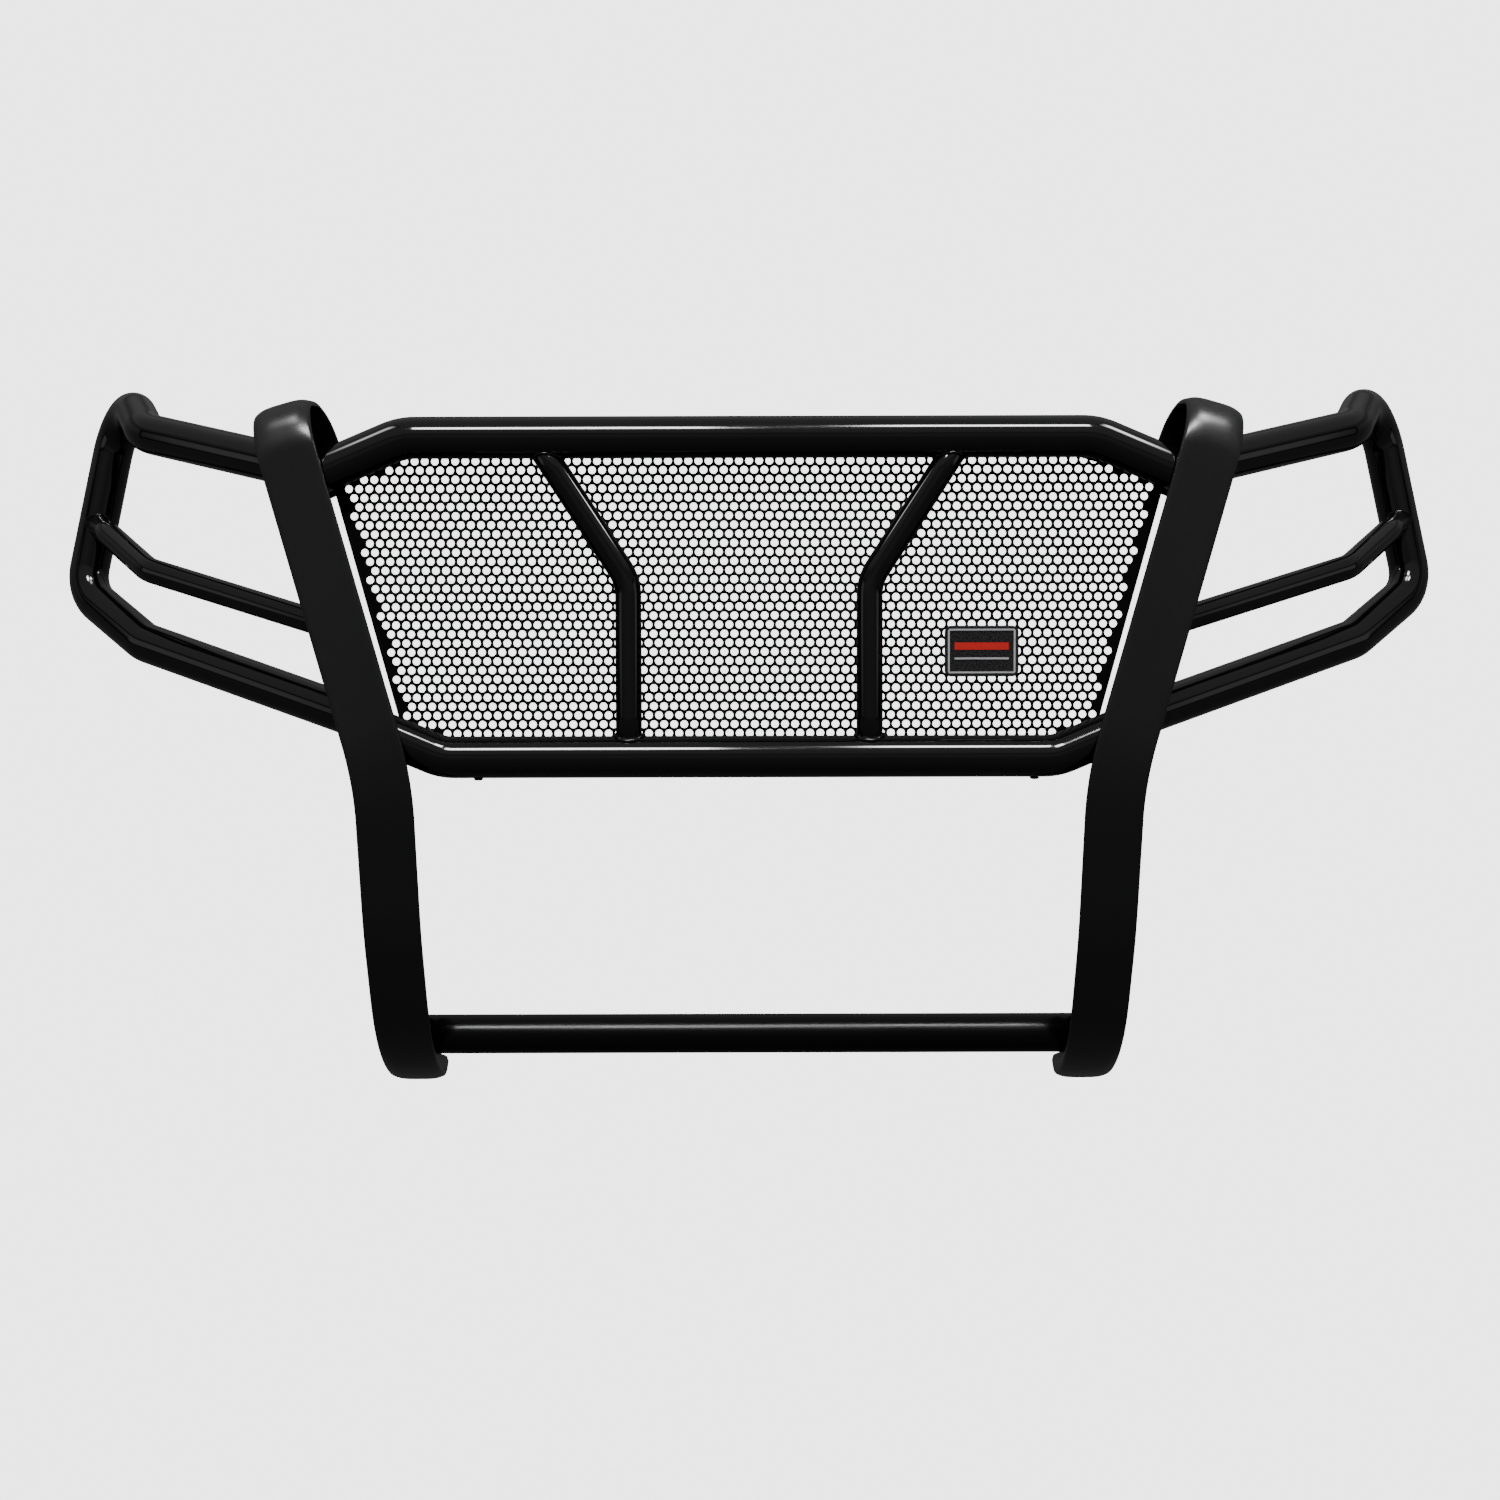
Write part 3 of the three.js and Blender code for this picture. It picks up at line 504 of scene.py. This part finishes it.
def splayed(p):
    """Bends a point of a straight upright outwards at the knee."""
    run = KNEE_BEND * math.tan(SPLAY / 2)
    if p.z <= -run:
        return p
    angle = SPLAY * min((p.z + run) / (2 * run), 1)
    radius = KNEE_BEND - p.x
    beyond = max(p.z - run, 0)
    return Vector((
        KNEE_BEND - radius * math.cos(angle) + beyond * math.sin(angle),
        p.y,
        -run + radius * math.sin(angle) + beyond * math.cos(angle),
    ))


def strap_section(half):
    """Outline of the strap's section as (across, depth), with rounded edges and flat faces."""
    points = []
    quarter = 5
    for cx, cy, start in (
        (half - STRAP_EDGE, STRAP_THICK - STRAP_EDGE, 0),
        (STRAP_EDGE - half, STRAP_THICK - STRAP_EDGE, 90),
        (STRAP_EDGE - half, STRAP_EDGE, 180),
        (half - STRAP_EDGE, STRAP_EDGE, 270),
    ):
        for k in range(quarter + 1):
            a = math.radians(start + 90 * k / quarter)
            points.append((cx + STRAP_EDGE * math.cos(a), cy + STRAP_EDGE * math.sin(a)))
        if start in (0, 180):
            reach = half - STRAP_EDGE
            way = 1 if start == 0 else -1
            depth = STRAP_THICK if start == 0 else 0
            for k in range(1, STRAP_ACROSS):
                points.append((way * reach * (1 - 2 * k / STRAP_ACROSS), depth))
    return points


def make_strap(side):
    """An upright strap: its section set along the side view, then bent outwards at the knee."""
    path, nose, rear = strap_path()
    total = sum((q[0] - p[0]).length for p, q in zip(path, path[1:]))
    bm = bmesh.new()
    rings = []
    gone = 0.0
    for i, (p, d) in enumerate(path):
        if i:
            gone += (p - path[i - 1][0]).length
        left = total - gone
        half = STRAP_WIDTH / 2
        if left < LIP["corner"]:
            r = LIP["corner"]
            half += math.sqrt(r * r - (r - left) ** 2) - r
        inward = Vector((0, -d.z, d.y))
        ring = []
        for across, depth in strap_section(half):
            drawn_in = foot_sag(p, d) * (abs(across) / half) ** DRAWN_POWER
            point = p + inward * (depth + drawn_in) + Vector((across, 0, 0))
            point = splayed(domed(point, half, nose, rear))
            ring.append(bm.verts.new(point + Vector((KNEE.x, 0, KNEE.z))))
        rings.append(ring)
    count = len(rings[0])
    for a, b in zip(rings, rings[1:]):
        for k in range(count):
            bm.faces.new((a[k], a[(k + 1) % count], b[(k + 1) % count], b[k]))
    bm.faces.new(rings[0])
    bm.faces.new(rings[-1])
    if side == "left":
        mirror(bm)
    piece = finished(f"{side}_upright_strap_smooth", bm, satin_black)
    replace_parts(piece, f"{side}_upright_strap")


# ---------------------------------------------------------------- weld beads

def circle_along(center, direction, radius, count):
    """Points of a circle around a direction."""
    u = direction.cross(Vector((0, 0, 1)))
    if u.length < 0.1:
        u = direction.cross(Vector((0, 1, 0)))
    u.normalize()
    v = direction.cross(u)
    return [center + (u * math.cos(2 * math.pi * k / count) + v * math.sin(2 * math.pi * k / count)) * radius
            for k in range(count)]


def loop_on_plane(center, direction, radius, point, normal, count):
    """Where a round tube meets a plane."""
    loop = []
    for q in circle_along(center, direction, radius, count):
        loop.append(q + direction * ((point - q).dot(normal) / direction.dot(normal)))
    return loop


def loop_on_tube(center, direction, radius, axis_point, axis, tube_radius, count):
    """Where a small tube, running along a direction, first meets a bigger tube."""
    loop = []
    for q in circle_along(center, direction, radius, count):
        w = q - axis_point
        a = direction - axis * direction.dot(axis)
        b = w - axis * w.dot(axis)
        aa, ab, bb = a.dot(a), a.dot(b), b.dot(b) - tube_radius ** 2
        loop.append(q + direction * ((-ab - math.sqrt(max(ab * ab - aa * bb, 0))) / aa))
    return loop


def bead(name, loop, size, flip=False, closed=True):
    """A rippled weld bead along a loop of points."""
    count = len(loop)
    path = []
    for i in range(count):
        after = loop[(i + 1) % count] if closed or i + 1 < count else loop[i]
        before = loop[i - 1] if closed or i else loop[i]
        path.append((loop[i], (after - before).normalized()))

    def radius_at(i, angle):
        ripple = RIPPLE["height"] * abs(math.sin(i * RIPPLE["per_step"]))
        wander = RIPPLE["wander"] * math.sin(i * RIPPLE["drift"] + angle)
        return size * (RIPPLE["least"] + ripple + wander)

    bm = swept(path, radius_at, BEAD_SIDES, closed)
    if flip:
        mirror(bm)
    return finished(name, bm, weld_black)


def path_near_plane(path, point, normal):
    """The straight run of a path that crosses a plane: a point on it and its direction."""
    for (p, d), (q, _) in zip(path, path[1:]):
        if (p - point).dot(normal) * (q - point).dot(normal) <= 0:
            return p, (q - p).normalized()
    return path[-1]


def weld_tubes_to_webs(side, flip):
    """Beads where the main tubes and the wing meet the splayed web."""
    inner, outer = web_face(1, False), web_face(1, True)
    wing = bent_path(WING_TUBE, WING_BEND)
    bar = bent_path(WING_BAR, WING_BAR_BEND)
    for name, path, radius, (point, normal) in (
        ("top_tube_weld", top_path()[::-1], MAIN_R, inner),
        ("lower_tube_weld", lower_path()[::-1], MAIN_R, inner),
        ("wing_top_weld", wing, MAIN_R, outer),
        ("wing_bottom_weld", wing[::-1], MAIN_R, outer),
        ("wing_bar_weld", bar, BAR_R, outer),
    ):
        center, direction = path_near_plane(path, point, normal)
        loop = loop_on_plane(center, direction, radius + BEAD_LIFT, point, normal, BEAD_STEPS)
        bead(f"{side}_{name}", loop, BEAD["tube"], flip)
    loop = circle_along(bottom_end(1), Vector((1, 0, 0)), MAIN_R + BEAD_LIFT, BEAD_STEPS)
    bead(f"{side}_bottom_tube_weld", loop, BEAD["tube"], flip)


def weld_webs_together(side, flip):
    """The bead along the knee, between the upper and the lower web."""
    seam = [KNEE + Vector((0, SEAM["start"] + SEAM["step"] * k, 0)) for k in range(BEAD_STEPS)]
    bead(f"{side}_web_knee_weld", seam, BEAD["knee"], flip, closed=False)


def weld_bars_to_tubes(side, flip):
    """Beads round the ends of the grille bar and the wing middle bar."""
    foot, kink, head = bar_corners()
    x_axis = Vector((1, 0, 0))
    for end, tip, up in (("head", head, TOP["up"]), ("foot", foot, LOWER["up"])):
        loop = loop_on_tube(kink, (tip - kink).normalized(), BAR_R + BEAD_LIFT,
                            on_panel(0, up), x_axis, MAIN_R + BEAD_SEAT, BEAD_STEPS)
        bead(f"{side}_grille_bar_{end}_weld", loop, BEAD[f"bar_{end}"], flip)
    end_top, end_low = Vector(WING_TUBE[2]), Vector(WING_TUBE[3])
    bar_mid, bar_end = Vector(WING_BAR[1]), Vector(WING_BAR[2])
    loop = loop_on_tube(bar_mid, (bar_end - bar_mid).normalized(), BAR_R - BEAD_LIFT,
                        end_top, (end_low - end_top).normalized(), MAIN_R - BEAD_SEAT, BEAD_STEPS)
    bead(f"{side}_wing_bar_end_weld", loop, BEAD["wing_bar_end"], flip)


def make_welds():
    """The weld beads of both sides."""
    for side, flip in (("right", False), ("left", True)):
        weld_tubes_to_webs(side, flip)
        weld_webs_together(side, flip)
        weld_bars_to_tubes(side, flip)


# ---------------------------------------------------------------- screen

def screen_outline():
    """The sheet's outline as (across, up the slope), with an ear at each upper corner."""
    clear, droop, rise = SCREEN["clear"], math.tan(TOP["droop"]), math.tan(LOWER["rise"])
    top_edge = TOP["up"] - clear
    top_bend = TOP["bend_x"] - clear * math.tan(TOP["droop"] / 2)
    low_edge = LOWER["up"] + clear
    low_bend = LOWER["bend_x"] - clear * math.tan(LOWER["rise"] / 2)

    def top_at(x):
        return top_edge - (x - top_bend) * droop

    def ear_under(x):
        return top_at(x) + clear / math.cos(TOP["droop"]) - SCREEN["ear"]

    def low_at(x):
        return low_edge + (x - low_bend) * rise

    ear_end = SCREEN["side_top"] + SCREEN["reach"]
    top_run, low_run, spare = EDGE["top_run"], EDGE["low_run"], EDGE["spare"]
    half = [
        (top_bend - top_run, top_edge),
        (top_bend + top_run, top_at(top_bend + top_run) - spare),
        (ear_end, top_at(ear_end) - spare),
        (ear_end, ear_under(ear_end)),
        (SCREEN["side_top"], ear_under(SCREEN["side_top"])),
        (SCREEN["side_bottom"], low_at(SCREEN["side_bottom"]) + spare),
        (low_bend + low_run, low_at(low_bend + low_run) + spare),
        (low_bend - low_run, low_edge),
    ]
    return half + [(-x, y) for x, y in reversed(half)]


def inside_margin(x, y):
    """Whether a hole centred here keeps the plain border of the sheet."""
    low, high = LOWER["up"] + SCREEN["clear"], TOP["up"] - SCREEN["clear"]
    wider, rise = SCREEN["side_top"] - SCREEN["side_bottom"], high - low - MARGIN["side_less"]
    side = SCREEN["side_bottom"] + (y - low - MARGIN["side_start"]) * wider / rise
    if abs(x) + HOLE["side_margin"] > side:
        return False
    top_bend = TOP["bend_x"] - MARGIN["bend"]
    top = high - max(abs(x) - top_bend, 0) * math.tan(TOP["droop"])
    low_bend = LOWER["bend_x"] - MARGIN["bend"]
    bottom = low + max(abs(x) - low_bend, 0) * math.tan(LOWER["rise"])
    return bottom + HOLE["radius"] + MARGIN["low"] < y < top - HOLE["radius"] - MARGIN["top"]


def hole_centers():
    """Centres of the punched holes, in rows shifted by half a pitch."""
    for row in range(int((TOP["up"] - HOLE["first_row"]) / HOLE["row"]) + 2):
        y = HOLE["first_row"] + row * HOLE["row"]
        shift = HOLE["shift"] + (HOLE["pitch"] / 2 if row % 2 else 0)
        for column in range(-MOST_COLUMNS, MOST_COLUMNS + 1):
            x = column * HOLE["pitch"] + shift
            if inside_margin(x, y):
                yield x, y


def punched_cells(bm):
    """Six-sided cells with a round hole in each. Returns the cells' shared corners."""
    p, q, r = HOLE["pitch"], HOLE["row"], HOLE["radius"]
    h1 = q / 3
    corner = [(p / 2, -h1), (p / 2, h1), (0, q - h1), (-p / 2, h1), (-p / 2, -h1), (0, h1 - q)]
    verts = {}

    def shared(x, y):
        key = (round(x, 2), round(y, 2))
        if key not in verts:
            verts[key] = bm.verts.new((x, y, 0))
        return verts[key]

    for x, y in hole_centers():
        cell = [shared(x + dx, y + dy) for dx, dy in corner]
        rim = []
        for k in range(HOLE_SIDES):
            a = math.radians(-30 + 30 * k)
            rim.append(bm.verts.new((x + r * math.cos(a), y + r * math.sin(a), 0)))
        for k in range(6):
            after = rim[(2 * k + 2) % HOLE_SIDES]
            bm.faces.new((cell[k], cell[(k + 1) % 6], after, rim[2 * k + 1], rim[2 * k]))
    return set(verts.values())


def fill_border(bm, corners):
    """Joins the outer cells to the sheet's outline."""
    border = [e for e in bm.edges
              if len(e.link_faces) == 1 and e.verts[0] in corners and e.verts[1] in corners]
    loop = chained(border)
    outline = [bm.verts.new((x, y, 0)) for x, y in screen_outline()]
    both = outline + loop
    for tri in tessellate_polygon([[v.co for v in outline], [v.co for v in loop]]):
        bm.faces.new([both[i] for i in tri])


def make_screen():
    """The punched sheet, made flat and then set on the leaning panel."""
    bm = bmesh.new()
    fill_border(bm, punched_cells(bm))
    bmesh.ops.recalc_face_normals(bm, faces=bm.faces)
    extruded = bmesh.ops.extrude_face_region(bm, geom=bm.faces[:])
    for v in extruded["geom"]:
        if isinstance(v, bmesh.types.BMVert):
            v.co.z = -SCREEN["thick"]
    for v in bm.verts:
        v.co = on_panel(v.co.x, v.co.y, SCREEN["back"] - v.co.z)
    piece = finished("grille_screen_punched", bm, screen_black, smooth=False)
    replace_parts(piece, "grille_screen")


def chained(edges):
    """The vertices of a closed chain of edges, in order."""
    follow = {}
    for e in edges:
        for a, b in (e.verts, reversed(e.verts)):
            follow.setdefault(a, []).append(b)
    start = edges[0].verts[0]
    loop, before, here = [start], None, start
    while True:
        ahead = [v for v in follow[here] if v is not before][0]
        if ahead is start:
            return loop
        loop.append(ahead)
        before, here = here, ahead


# ---------------------------------------------------------------- badge

def panel_box(bm, x, up, width, height, forward, thick):
    """A bevelled bar standing on the front of the badge."""
    made = bmesh.ops.create_cube(bm, size=1)["verts"]
    for v in made:
        v.co = Vector((v.co.x * width, v.co.y * height, (v.co.z + 0.5) * thick))
    edges = list({e for v in made for e in v.link_edges})
    result = bmesh.ops.bevel(bm, geom=edges, offset=min(thick, height) * 0.3, segments=2, affect="EDGES")
    for v in {*result["verts"], *[v for v in made if v.is_valid]}:
        v.co = on_panel(x + v.co.x, up + v.co.y, SCREEN["back"] - GAP - forward - v.co.z)


def make_badge():
    """A plain raised rim, a line and a coloured stripe on the badge's face, with no lettering."""
    x, up = BADGE["x"], BADGE["up"]
    w, h = BADGE["width"] - BADGE_RIM["inset"], BADGE["height"] - BADGE_RIM["inset"]
    marks = w - BADGE_MARK_INSET
    forward, raised = BADGE_RIM["forward"], BADGE_RIM["raised"]
    rim = bmesh.new()
    for across, offset in ((w, h / 2), (w, -h / 2)):
        panel_box(rim, x, up + offset, across, BADGE_RIM["width"], forward, raised)
    for offset in (-w / 2, w / 2):
        panel_box(rim, x + offset, up, BADGE_RIM["width"], h, forward, raised)
    panel_box(rim, x, up - BADGE_LINE["down"], marks, BADGE_LINE["height"], forward, raised)
    finished("badge_raised_rim", rim, badge_silver, smooth=False)
    stripe = bmesh.new()
    panel_box(stripe, x, up + BADGE_STRIPE["up"], marks, BADGE_STRIPE["height"],
              forward, BADGE_STRIPE["raised"])
    finished("badge_red_stripe", stripe, badge_red, smooth=False)


# ---------------------------------------------------------------- carried-over CAD pieces

CAD_MERGE = 0.00002
CAD_EDGE_ANGLE = math.radians(40)


def dress(node, material, bevel):
    """Gives a CAD node its material and finely rounded edges."""
    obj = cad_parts[node]
    for slot in obj.material_slots:
        slot.link = "OBJECT"
        slot.material = material
    weld = obj.modifiers.new("weld", "WELD")
    weld.merge_threshold = CAD_MERGE
    edges = obj.modifiers.new("edges", "BEVEL")
    edges.width = bevel
    edges.segments = 2
    edges.limit_method = "ANGLE"
    edges.angle_limit = CAD_EDGE_ANGLE
    edges.harden_normals = False


def dress_cad():
    """Materials for the nodes whose CAD shape is kept."""
    for side in ("right", "left"):
        for node in ("upright_upper_web", "upright_lower_web", "frame_bracket"):
            dress(f"{side}_{node}", satin_black, 0.0006)
        dress(f"{side}_drain_plug", plug_black, 0.0003)
        for level in ("upper", "lower"):
            dress(f"{side}_{level}_bracket_bolt", zinc, 0.0005)
            dress(f"{side}_{level}_bracket_nut", zinc, 0.0005)
    dress("badge", badge_black, 0.0002)
    dress("badge_inner_push_nut", zinc, 0.0002)
    dress("badge_outer_push_nut", zinc, 0.0002)


# ---------------------------------------------------------------- studio

# lengths here are in metres, apart from the lens and its sensor
CAMERA_TILT = math.radians(15)
CAMERA_DISTANCE = 3.155
CAMERA_LENS = 62.4
CAMERA_SENSOR = 36
CAMERA_ROLL = math.radians(0.155)
CAMERA_ASIDE = 0.0008
STAGE_SEEN = 3.5                         # glow towards the camera
STAGE_GIVEN = 0.10                       # grey towards everything else
DISH = {"flat": 7.0, "curve": 3.0, "height": 16.0, "curve_steps": 12, "sides": 72}

# how high in the sky, from -1 to 1, and how bright
SKY = [(-0.9, 0.055), (-0.5, 0.085), (0.05, 0.105), (0.30, 0.20), (0.46, 0.12), (0.58, 0.29)]


def make_camera():
    """The camera, in front of the guard and looking a little down on it."""
    aim = -FIXING * MM
    forward = Vector((0, math.cos(CAMERA_TILT), -math.sin(CAMERA_TILT)))
    data = bpy.data.cameras.new("camera")
    data.lens = CAMERA_LENS
    data.sensor_width = CAMERA_SENSOR
    data.clip_end = 50
    camera = bpy.data.objects.new("camera", data)
    bpy.context.scene.collection.objects.link(camera)
    turn = Matrix.Rotation(math.pi / 2 - CAMERA_TILT, 4, "X") @ Matrix.Rotation(-CAMERA_ROLL, 4, "Z")
    aside = Vector((CAMERA_ASIDE, 0, 0))
    camera.matrix_world = Matrix.Translation(aim - forward * CAMERA_DISTANCE + aside) @ turn
    bpy.context.scene.camera = camera


def stage_material(name, seen, given):
    """A pale glow where the camera sees it, and a dim grey to everything else."""
    material, tree, shader = node_material(name)
    grain = noise_node(tree, 30.0, 2.0)
    color = blend_colors(tree, grain, (given,) * 3, (given * 0.97,) * 3)
    tree.links.new(color, shader.inputs["Base Color"])
    shader.inputs["Roughness"].default_value = 0.9
    glow = tree.nodes.new("ShaderNodeEmission")
    glow.inputs["Color"].default_value = (1, 1, 1, 1)
    glow.inputs["Strength"].default_value = seen
    path = tree.nodes.new("ShaderNodeLightPath")
    mix = tree.nodes.new("ShaderNodeMixShader")
    tree.links.new(path.outputs["Is Camera Ray"], mix.inputs["Fac"])
    tree.links.new(shader.outputs["BSDF"], mix.inputs[1])
    tree.links.new(glow.outputs["Emission"], mix.inputs[2])
    tree.links.new(mix.outputs["Shader"], tree.nodes["Material Output"].inputs["Surface"])
    return material


def make_stage():
    """A round pale dish under and around the guard, which only the camera sees."""
    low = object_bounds()[0][2]
    flat, curve, steps, sides = DISH["flat"], DISH["curve"], DISH["curve_steps"], DISH["sides"]
    profile = [(flat, low)]
    for k in range(1, steps + 1):
        a = math.radians(90 * k / steps)
        profile.append((flat + curve * math.sin(a), low + curve * (1 - math.cos(a))))
    profile.append((flat + curve, low + DISH["height"]))
    bm = bmesh.new()
    rings = []
    for radius, up in profile:
        ring = []
        for k in range(sides):
            a = 2 * math.pi * k / sides
            ring.append(bm.verts.new((radius * math.cos(a), radius * math.sin(a), up)))
        rings.append(ring)
    bm.faces.new(rings[0])
    for a, b in zip(rings, rings[1:]):
        for k in range(sides):
            bm.faces.new((a[k], a[(k + 1) % sides], b[(k + 1) % sides], b[k]))
    mesh = bpy.data.meshes.new("studio_dish")
    bm.to_mesh(mesh)
    bm.free()
    for face in mesh.polygons:
        face.use_smooth = True
    dish = bpy.data.objects.new("studio_dish", mesh)
    bpy.context.scene.collection.objects.link(dish)
    mesh.materials.append(stage_material("studio_white", STAGE_SEEN, STAGE_GIVEN))
    dish.visible_glossy = False
    dish.visible_diffuse = False
    dish.visible_shadow = False


def softbox(name, location, target, width, height, strength, soft_x, soft_y):
    """A glowing panel that fades towards its edges. soft_x and soft_y are the shares that fade."""
    material = bpy.data.materials.new(name)
    material.use_nodes = True
    tree = material.node_tree
    tree.nodes.remove(tree.nodes["Principled BSDF"])
    split = tree.nodes.new("ShaderNodeSeparateXYZ")
    tree.links.new(tree.nodes.new("ShaderNodeTexCoord").outputs["Object"], split.inputs["Vector"])
    level = None
    for axis, half, soft in (("X", width / 2, soft_x), ("Y", height / 2, soft_y)):
        size = tree.nodes.new("ShaderNodeMath")
        size.operation = "ABSOLUTE"
        tree.links.new(split.outputs[axis], size.inputs[0])
        fade = tree.nodes.new("ShaderNodeMapRange")
        fade.interpolation_type = "SMOOTHERSTEP"
        ends = {"From Min": half * (1 - soft), "From Max": half, "To Min": 1.0, "To Max": 0.0}
        for key, number in ends.items():
            fade.inputs[key].default_value = number
        tree.links.new(size.outputs[0], fade.inputs["Value"])
        if level is None:
            level = fade.outputs["Result"]
        else:
            both = tree.nodes.new("ShaderNodeMath")
            both.operation = "MULTIPLY"
            tree.links.new(level, both.inputs[0])
            tree.links.new(fade.outputs["Result"], both.inputs[1])
            level = both.outputs[0]
    glow = tree.nodes.new("ShaderNodeEmission")
    power = tree.nodes.new("ShaderNodeMath")
    power.operation = "MULTIPLY"
    power.inputs[1].default_value = strength
    tree.links.new(level, power.inputs[0])
    tree.links.new(power.outputs[0], glow.inputs["Strength"])
    tree.links.new(glow.outputs["Emission"], tree.nodes["Material Output"].inputs["Surface"])
    bm = bmesh.new()
    w, h = width / 2, height / 2
    bm.faces.new([bm.verts.new(p) for p in ((-w, -h, 0), (w, -h, 0), (w, h, 0), (-w, h, 0))])
    mesh = bpy.data.meshes.new(name)
    bm.to_mesh(mesh)
    bm.free()
    mesh.materials.append(material)
    panel = bpy.data.objects.new(name, mesh)
    bpy.context.scene.collection.objects.link(panel)
    panel.visible_camera = False
    panel.location = location
    panel.rotation_euler = (Vector(target) - Vector(location)).to_track_quat("-Z", "Y").to_euler()


# The two front panels are far away, so that the sloping tube ends catch them too.
# Each is: name, metres aside, elevation, width, height, share that fades at the ends, and at the edges.
FRONT_DISTANCE = 16.0
FRONT_STRENGTH = 60.0
FRONT_PANELS = [
    ("left_front_panel", -1.42, 61, 2.5, 4.4, 0.15, 0.9),
    ("right_front_panel", 2.10, 69, 2.8, 4.0, 0.25, 0.9),
]

LIT_MIDDLE = (0, -0.15, 0.26)
WING_PANEL = {"elevation": 12, "azimuth": 72, "distance": 3.4, "width": 1.8, "height": 1.6}
WING_GLOW = {"strength": 0.5, "soft": 0.6}
# a small panel near each crown, for the highlight on its top
CROWN_SPOT = {"aside": 0.50, "ahead": -0.1, "up": 0.68}
CROWN_PANEL = {"aside": 0.29, "ahead": -0.06, "up": 0.66, "size": 0.3, "soft": 0.8}
CROWN_STRENGTH = {"left": 9.0, "right": 24.0}


def make_lights():
    """Soft panels in front, beside the wings and over the crowns."""
    middle = Vector(LIT_MIDDLE)

    def at(elevation, azimuth, distance):
        e, a = math.radians(elevation), math.radians(azimuth)
        way = Vector((math.sin(a) * math.cos(e), -math.cos(a) * math.cos(e), math.sin(e)))
        return middle + way * distance

    for name, aside, elevation, width, height, soft_x, soft_y in FRONT_PANELS:
        shift = Vector((aside, 0, 0))
        place = at(elevation, 0, FRONT_DISTANCE) + shift
        softbox(name, place, middle + shift, width, height, FRONT_STRENGTH, soft_x, soft_y)
    for side, name in ((-1, "left"), (1, "right")):
        place = at(WING_PANEL["elevation"], WING_PANEL["azimuth"] * side, WING_PANEL["distance"])
        softbox(f"{name}_wing_panel", place, middle, WING_PANEL["width"], WING_PANEL["height"],
                WING_GLOW["strength"], WING_GLOW["soft"], WING_GLOW["soft"])
        crown = Vector((CROWN_SPOT["aside"] * side, CROWN_SPOT["ahead"], CROWN_SPOT["up"]))
        lift = Vector((CROWN_PANEL["aside"] * side, CROWN_PANEL["ahead"], CROWN_PANEL["up"]))
        softbox(f"{name}_crown_panel", crown + lift, crown, CROWN_PANEL["size"], CROWN_PANEL["size"],
                CROWN_STRENGTH[name], CROWN_PANEL["soft"], CROWN_PANEL["soft"])
    make_sky()


def make_sky():
    """A dim studio: a grey ceiling, with darker walls and floor below it."""
    world = bpy.data.worlds.new("studio_world")
    bpy.context.scene.world = world
    world.use_nodes = True
    tree = world.node_tree
    split = tree.nodes.new("ShaderNodeSeparateXYZ")
    tree.links.new(tree.nodes.new("ShaderNodeTexCoord").outputs["Generated"], split.inputs["Vector"])
    ramp = tree.nodes.new("ShaderNodeValToRGB")
    while len(ramp.color_ramp.elements) < len(SKY):
        ramp.color_ramp.elements.new(0.5)
    for element, (height, level) in zip(ramp.color_ramp.elements, SKY):
        element.position = (height + 1) / 2
        element.color = (level, level, level, 1)
    tree.links.new(remap(tree, split.outputs["Z"], -1, 1, 0, 1), ramp.inputs["Fac"])
    tree.links.new(ramp.outputs["Color"], tree.nodes["Background"].inputs["Color"])


make_camera()
make_tubes()
for upright in ("right", "left"):
    make_strap(upright)
make_welds()
make_screen()
make_badge()
dress_cad()
make_stage()
make_lights()
